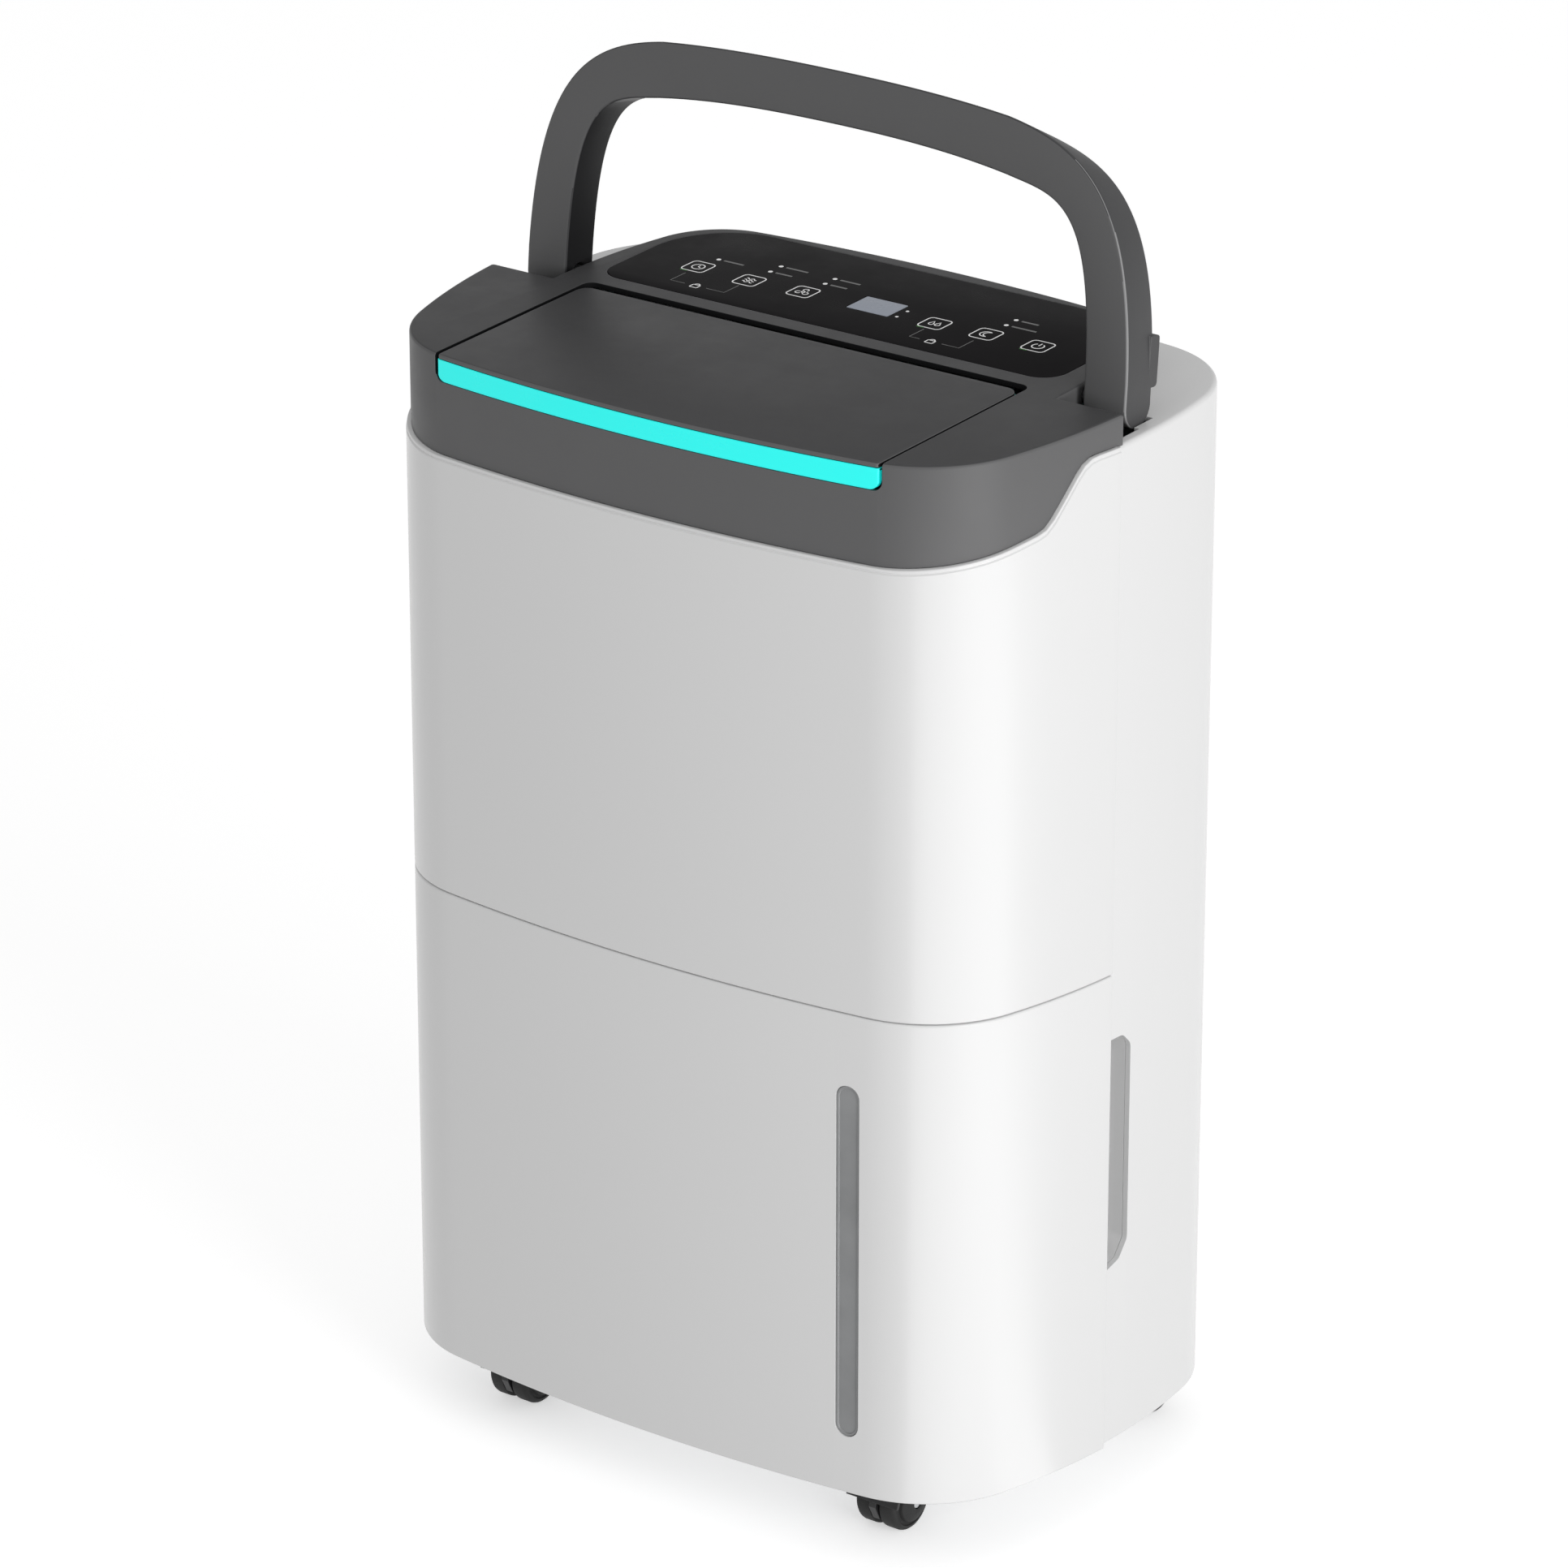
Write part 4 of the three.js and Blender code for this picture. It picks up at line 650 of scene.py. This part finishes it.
def outlet_flap():
    flap = slab("outlet_flap_lid", flap_outline, below_cap(FLAP_THICK), below_cap(0), 0.3, 0.7)
    finish(flap, "charcoal_cap", "flap", ["outlet_flap"])
    # Painted shade: the flap's top takes a darker charcoal, and its side and back edges a near-black one,
    # standing in for the shade in the gap.
    paint_shade_and_highlight(flap, (CHARCOAL_TOP_PAINTED_SHADE, lambda c, n: n.z > 0.7),
         (CHARCOAL_PAINTED_GAP_SHADE, lambda c, n: abs(n.z) < 0.4 and (abs(n.x) > 0.9 or n.y > 0.5)))
    lift = FLAP_THICK + GAP
    plate = slab("flap_liner_plate", lambda d: flap_outline(d, STRIP_HALF, FLAP_BACK_Y + 1, 6, 1.0),
                 below_cap(lift + 1.4), below_cap(lift), 0.2, 0.2)
    plan = lambda d: flap_outline(d, STRIP_HALF, -90, 3, 1.0)
    strip = slab("strip", plan, STRIP_Z, below_cap(lift + 0.01))
    cut(strip, slab("inner", lambda d: flap_outline(0, STRIP_HALF + 5, -80, 3, 1.0, WALL), 490, 600))
    face = strip_corners(STRIP_HALF, STRIP_Z)
    common(strip, sweep_y("face", face + [(STRIP_HALF, 600), (-STRIP_HALF, 600)], -150, -80))
    join(plate, strip)
    for x0, x1 in ((-104, -98), (98, 104)):
        eye = rod("eye", "x", (HINGE_Y, HINGE_Z), 3.6, x0, x1)
        web = block("web", x0, x1, HINGE_Y - 3, HINGE_Y + 3, HINGE_Z, cap_top(HINGE_Y) - lift - 0.5)
        join(plate, eye, web)
    cut(plate, rod("bore", "x", (HINGE_Y, HINGE_Z), HINGE_ROD_R + GAP, -WIDTH, WIDTH))
    finish(plate, "cyan_liner", "flap", ["flap_liner"])
    paint_shade_and_highlight(plate, (CYAN_SHADE, lambda c, n: c.y > -104))


# ---------------------------------------------------------------- handle
def bezier(p0, p1, p2, p3, n):
    made = []
    for i in range(n + 1):
        t = i / n
        s = 1 - t
        made.append(tuple(s ** 3 * a + 3 * s * s * t * b + 3 * s * t * t * c + t ** 3 * d
                          for a, b, c, d in zip(p0, p1, p2, p3)))
    return made


def handle_lines():
    """The outer and inner edge of one half of the handle, (x, z), from the foot to the middle of the grip."""
    top, foot, lines = HANDLE_TOP, PIVOT_Z - HANDLE_THICK / 2, []
    for x, arm_drop, bend, shoulder, grip_line in (OUTER_BEND, INNER_BEND):
        line = [(x, foot + (top - arm_drop - foot) * k / ARM_STEPS) for k in range(ARM_STEPS)]
        line += bezier((x, top - arm_drop), *[(u, top - d) for u, d in (*bend, shoulder)], 36)
        line += bezier(*[(u, top - d) for u, d in (shoulder, *grip_line)], 14)[1:]
        lines.append(line)
    return lines


def handle():
    outer, inner = handle_lines()
    half = HANDLE_THICK / 2
    low = [PIVOT_Z - half * math.sin(a) for a in FOOT_TURNS]
    pairs = [((ARM_OUTER, z), (ARM_INNER, z)) for z in low]
    pairs += [(o, i) for o, i in zip(outer, inner) if o[1] > PIVOT_Z + 1 and i[1] > PIVOT_Z + 1]
    pairs += [((-o[0], o[1]), (-i[0], i[1])) for o, i in reversed(pairs[:-1])]
    rings = []
    for (ox, oz), (ix, iz) in pairs:
        drop = max(0.0, PIVOT_Z - max(oz, iz))
        w = max(math.sqrt(max(half ** 2 - drop ** 2, 0)), 0.35)
        length = math.hypot(ox - ix, oz - iz)
        dx, dz = (ox - ix) / length, (oz - iz) / length
        r = min(HANDLE_EDGE_R, w * 0.9)
        cx, cz = (ox + ix) / 2, (oz + iz) / 2
        ring = []
        for u, v in rounded(-length / 2, length / 2, -w, w, (r, r, r, r), 5):
            fall = GRIP_FALL * (u / length + 0.5) + UNDER_FALL * (0.5 - u / length)
            u -= dz * dz * (v + w) / (2 * w) * fall
            ring.append((cx + u * dx, PIVOT_Y + v, cz + u * dz))
        rings.append(ring)
    grip_bar = stack("carry_handle", rings)
    back = PIVOT_Y + half
    rest = fillet([(back - 3, REST_Z0), (back + REST_DEPTH, REST_Z0), (back + REST_DEPTH, REST_Z1),
                   (back - 3, REST_Z1)], 2.2)
    join(grip_bar, *[side_sweep("rest", s, rest, REST_INNER, ARM_OUTER - 0.2) for s in (1, -1)])
    cut(grip_bar, *[rod("pin_hole", "x", (PIVOT_Y, PIVOT_Z), PIN_R + PIN_ROOM, a, b)
                    for a, b in ((DECK_HALF, ARM_BORE), (-ARM_BORE, -DECK_HALF))])
    pivot = Matrix.Translation(Vector((0, PIVOT_Y / 1000, PIVOT_Z / 1000)))
    grip_bar.data.transform(pivot @ Matrix.Rotation(-LEAN, 4, "X") @ pivot.inverted())
    finish(grip_bar, "charcoal_cap", "handle_grip", ["handle"])
    # Painted shade and highlight: the handle's sides, top and underside take a darker charcoal, the left arm's
    # inner face a near-black painted shade, and the right arm's front-outer edge a light painted highlight.
    paint_shade_and_highlight(grip_bar, (CHARCOAL_SIDE_PAINTED_SHADE, lambda c, n: abs(n.x) > 0.7 or n.z < -0.5 or n.z > 0.3),
         (CHARCOAL_SHADE, lambda c, n: n.x > 0.45 and n.y > -0.4 and c.x < 0 and c.z > PIVOT_Z),
         (CHARCOAL_PAINTED_HIGHLIGHT, lambda c, n: n.y < -0.35 and n.x > 0.45 and c.x > 0))


# ---------------------------------------------------------------- control panel
def control_panel():
    plate = slab("control_overlay_plate", lambda d: overlay_outline(-d), below_cap(0.7), below_cap(0), 0, 0.2)
    x0, x1, y0, y1 = DISPLAY
    cut(plate, slab("hole", lambda d: rounded(x0, x1, y0, y1, (0.8,) * 4), 480, 600))
    finish(plate, "black_overlay", "housing", ["control_overlay"])

    def pane_outline(inset):
        d = GAP + inset
        return rounded(x0 + d, x1 - d, y0 + d, y1 - d, (0.6,) * 4)
    pane = slab("display_pane", pane_outline, below_cap(0.7), below_cap(0), 0, 0.15)
    finish(pane, "display_grey", "housing", ["display_window"])


def panel_print():
    """Key outlines, plain symbols, lamps and label bars, each a thin raised print on the overlay."""
    parts = {"white": ([], []), "grey": ([], []), "green": ([], [])}

    def prism(tone, rings, closed):
        vertices, faces = parts[tone]
        base, count = len(vertices), len(rings)
        for ring in rings:
            vertices.extend((x, y, cap_top(y) + z) for x, y, z in ring)
        for k in range(count if closed else count - 1):
            a, b = base + 4 * k, base + 4 * ((k + 1) % count)
            faces.extend((a + i, a + (i + 1) % 4, b + (i + 1) % 4, b + i) for i in range(4))
        if not closed:
            end = base + 4 * (count - 1)
            faces.extend([(base + 3, base + 2, base + 1, base), (end, end + 1, end + 2, end + 3)])

    def stroke(points, width=0.55, closed=False, tone="white"):
        rings, count = [], len(points)
        for i, (x, y) in enumerate(points):
            before = points[i - 1] if closed or i else points[i]
            after = points[(i + 1) % count] if closed or i < count - 1 else points[i]
            dx, dy = after[0] - before[0], after[1] - before[1]
            length = math.hypot(dx, dy)
            nx, ny = -dy / length * width / 2, dx / length * width / 2
            corners = ((-1, -PRINT_SUNK), (1, -PRINT_SUNK), (1, PRINT_PROUD), (-1, PRINT_PROUD))
            rings.append([(x + s * nx, y + s * ny, z) for s, z in corners])
        prism(tone, rings, closed)

    def circle(cx, cy, r, width=0.55, tone="white", a0=0.0, a1=2 * math.pi):
        whole = a1 - a0 > 6.28
        points = arc(cx, cy, r, a0, a1, 28)
        stroke(points[:-1] if whole else points, width, whole, tone)

    def bar(x0, x1, y, height, tone="grey"):
        stroke([(x0, y), (x1, y)], height, False, tone)

    def wave(cx, cy):
        stroke([(cx + t, cy + 0.7 * math.sin(t * 2.1)) for t in [i * 0.4 - 2.8 for i in range(15)]], 0.5)

    def drop(cx, cy, r):
        stroke(arc(cx, cy, r, math.radians(-215), math.radians(35), 16) + [(cx, cy + 2.5 * r)], 0.5, True)

    keys = [(-91, 40.5), (-61, 38.6), (-32, 39.9), (40.6, 39.1), (67.1, 40.6), (94.7, 40.6)]
    for x, y in keys:
        stroke(rounded(x - 6, x + 6, y - 6, y + 6, (2.2,) * 4, 5), 0.6, True)
    (ax, ay), (bx, by), (cx, cy), (dx, dy), (ex, ey), (px, py) = keys
    circle(ax, ay, 3.0)
    stroke([(ax, ay + 1.8), (ax, ay), (ax + 1.6, ay - 0.8)], 0.5)
    for lift in (-1.9, 0, 1.9):
        wave(bx, by + lift)
    circle(cx, cy, 0.8)
    for turn in (90, 210, 330):
        a = math.radians(turn)
        circle(cx + 2.3 * math.cos(a), cy + 2.3 * math.sin(a), 1.3, 0.5, "white", a - 2.3, a + 2.3)
    drop(dx - 1.5, dy - 0.8, 1.2)
    drop(dx + 1.8, dy - 0.8, 1.2)
    circle(ex, ey, 2.9, 0.55, "white", math.radians(60), math.radians(300))
    circle(ex + 1.4, ey, 2.5, 0.5, "white", math.radians(98), math.radians(262))
    circle(px, py, 2.8, 0.6, "white", math.radians(125), math.radians(415))
    stroke([(px, py + 3.4), (px, py + 0.4)], 0.6)
    for x, y, long in ((-89, 53, 11), (-60, 53, 9), (-60, 61, 12), (-30, 53.6, 9), (-30, 61, 11),
                       (68, 54.5, 13), (68, 62, 9)):
        circle(x, y, 0.55, 1.1)
        bar(x + 3, x + 3 + long, y, 1.3)
    for x, y in ((21.5, 45), (21.5, 37)):
        circle(x, y, 0.4, 0.8)
    for x0, x1, middle in ((-91, -61, -77), (40.6, 67.1, 52)):
        stroke([(x0, 31), (x0, 20), (middle - 6, 20)], 0.4, False, "grey")
        stroke([(middle + 6, 20), (x1, 20), (x1, 31)], 0.4, False, "grey")
        stroke(rounded(middle - 2, middle + 2, 18, 21.2, (0.4,) * 4, 2), 0.5, True)
        circle(middle, 21.2, 1.3, 0.5, "white", 0, math.pi)
    for x, y in (keys[0], keys[3], keys[5]):
        stroke([(x - 5.2, y - 6.6), (x - 1.5, y - 6.6)], 0.9, False, "green")
    for tone, look in (("white", PRINT), ("grey", PRINT_GREY), ("green", PRINT_GREEN)):
        finish(new_object("panel_print_" + tone, *parts[tone]), "display_grey", "housing", look=look)


# ---------------------------------------------------------------- water window
def water_window():
    pane = sweep_y("water_window_pane", window_outline(0), *THROUGH_FRONT)
    common(pane, slab("out", lambda d: body_plan(WINDOW_INSET), 0, 600))
    cut(pane, slab("in", lambda d: body_plan(WINDOW_INSET + WALL + 1.6), -5, 605))
    recess = sweep_y("face", window_outline(-1.0), *THROUGH_FRONT)
    cut(pane, cut(recess, slab("deep", lambda d: body_plan(WINDOW_INSET + 0.5), -5, 605)))
    finish(pane, "window_smoke", "tank", ["water_window"])


# ---------------------------------------------------------------- casters
def casters():
    """Twin wheels with a soft tread, a stepped flank and a raised hub."""
    flank = [(2.8, 2.4), (13.3, 2.4), (13.9, 2.8), (14.0, 3.6), (14.0, 8.6), (13.7, 9.6), (12.9, 10.5),
             (11.6, 10.9), (11.2, 10.2), (10.4, 10.0), (9.7, 10.4), (9.2, 12.2), (7.8, 13.1), (5.6, 13.7),
             (4.6, 14.0), (2.8, 14.0)]
    sides = 48
    for corner, (x, y) in CASTERS.items():
        for side, end in ((-1, "outer" if x < 0 else "inner"), (1, "outer" if x > 0 else "inner")):
            vertices, faces, count = [], [], len(flank)
            for k in range(sides):
                a = 2 * math.pi * k / sides
                vertices.extend((x + side * h, y + CASTER_TRAIL + r * math.cos(a), WHEEL_R + r * math.sin(a))
                                for r, h in flank)
                nxt = (k + 1) % sides
                faces.extend((k * count + i, k * count + (i + 1) % count,
                              nxt * count + (i + 1) % count, nxt * count + i) for i in range(count))
            wheel = new_object(f"{corner}_{end}_wheel", vertices, faces)
            finish(wheel, "black_rubber", f"{corner}_wheels", [f"caster_{corner}_wheel_{end}"])


# ---------------------------------------------------------------- studio
def camera():
    data = bpy.data.cameras.new("camera")
    data.lens = CAMERA_LENS
    data.sensor_width = 36.0
    data.clip_start, data.clip_end = 0.1, 60.0
    cam = bpy.data.objects.new("camera", data)
    bpy.context.scene.collection.objects.link(cam)
    back = Vector((math.sin(CAMERA_TURN) * math.cos(CAMERA_RISE),
                   -math.cos(CAMERA_TURN) * math.cos(CAMERA_RISE), math.sin(CAMERA_RISE)))
    cam.location = Vector(CAMERA_AIM) + back * CAMERA_DISTANCE
    cam.rotation_mode = "QUATERNION"
    cam.rotation_quaternion = (-back).to_track_quat("-Z", "Y")
    bpy.context.scene.camera = cam


def area_light(name, place, target, size, power):
    data = bpy.data.lights.new(name, "AREA")
    data.shape = "RECTANGLE"
    data.size, data.size_y = size
    data.energy = power
    lamp = bpy.data.objects.new(name, data)
    lamp.location = place
    lamp.rotation_mode = "QUATERNION"
    lamp.rotation_quaternion = (Vector(target) - Vector(place)).to_track_quat("-Z", "Y")
    bpy.context.scene.collection.objects.link(lamp)


def studio():
    scene = bpy.context.scene
    scene.view_settings.view_transform = "Standard"
    world = bpy.data.worlds.new("studio_white")
    world.use_nodes = True
    background = world.node_tree.nodes["Background"]
    background.inputs["Color"].default_value = (1, 1, 1, 1)
    background.inputs["Strength"].default_value = 0.53
    scene.world = world
    floor = new_object("studio_floor", [(x, y, 0) for x, y in ((-9, -9), (9, -9), (9, 9), (-9, 9))],
                       [(0, 1, 2, 3)], 1.0)
    paper = bpy.data.materials.new("studio_paper")
    paper.use_nodes = True
    shader = paper.node_tree.nodes["Principled BSDF"]
    shader.inputs["Base Color"].default_value = (0.9, 0.9, 0.9, 1)
    shader.inputs["Roughness"].default_value = 0.9
    shader.inputs["Emission Color"].default_value = (1, 1, 1, 1)
    shader.inputs["Emission Strength"].default_value = 0.5
    floor.data.materials.append(paper)
    floor.visible_diffuse = False
    area_light("key_right", KEY_PLACE, KEY_TARGET, KEY_SIZE, KEY_POWER)
    corner = Vector((FRONT_CORNER[0] / 1000, FRONT_CORNER[1] / 1000, 0.002))
    near, far = CORNER_R / 1000 + 0.01, 1.6
    fan = [corner + Vector((math.sin(a), -math.cos(a), 0)) * r
           for r, turns in ((near, CARD_TURNS), (far, CARD_TURNS[::-1])) for a in turns]
    card = new_object("studio_card", [tuple(v) for v in fan], [tuple(range(len(fan)))], 1.0)
    glow = bpy.data.materials.new("studio_card_glow")
    glow.use_nodes = True
    bright = glow.node_tree.nodes["Principled BSDF"]
    bright.inputs["Base Color"].default_value = (0.9, 0.9, 0.9, 1)
    bright.inputs["Emission Color"].default_value = (1, 1, 1, 1)
    bright.inputs["Emission Strength"].default_value = 2.6
    card.data.materials.append(glow)
    card.visible_camera = card.visible_diffuse = card.visible_shadow = card.visible_transmission = False


camera()
studio()
front_panel()
tank_front()
rear_housing()
top_cover()
outlet_flap()
handle()
control_panel()
panel_print()
water_window()
casters()

slot_of = {entry["node"]: entry["material_slot"] for entry in frame["record"]["subparts"]}
for name, node in frame["nodes"].items():
    if not node.hide_render:
        look = SLOT_FINISH.get(slot_of.get(name), PALE)
        node.data.materials.clear()
        node.data.materials.append(look)
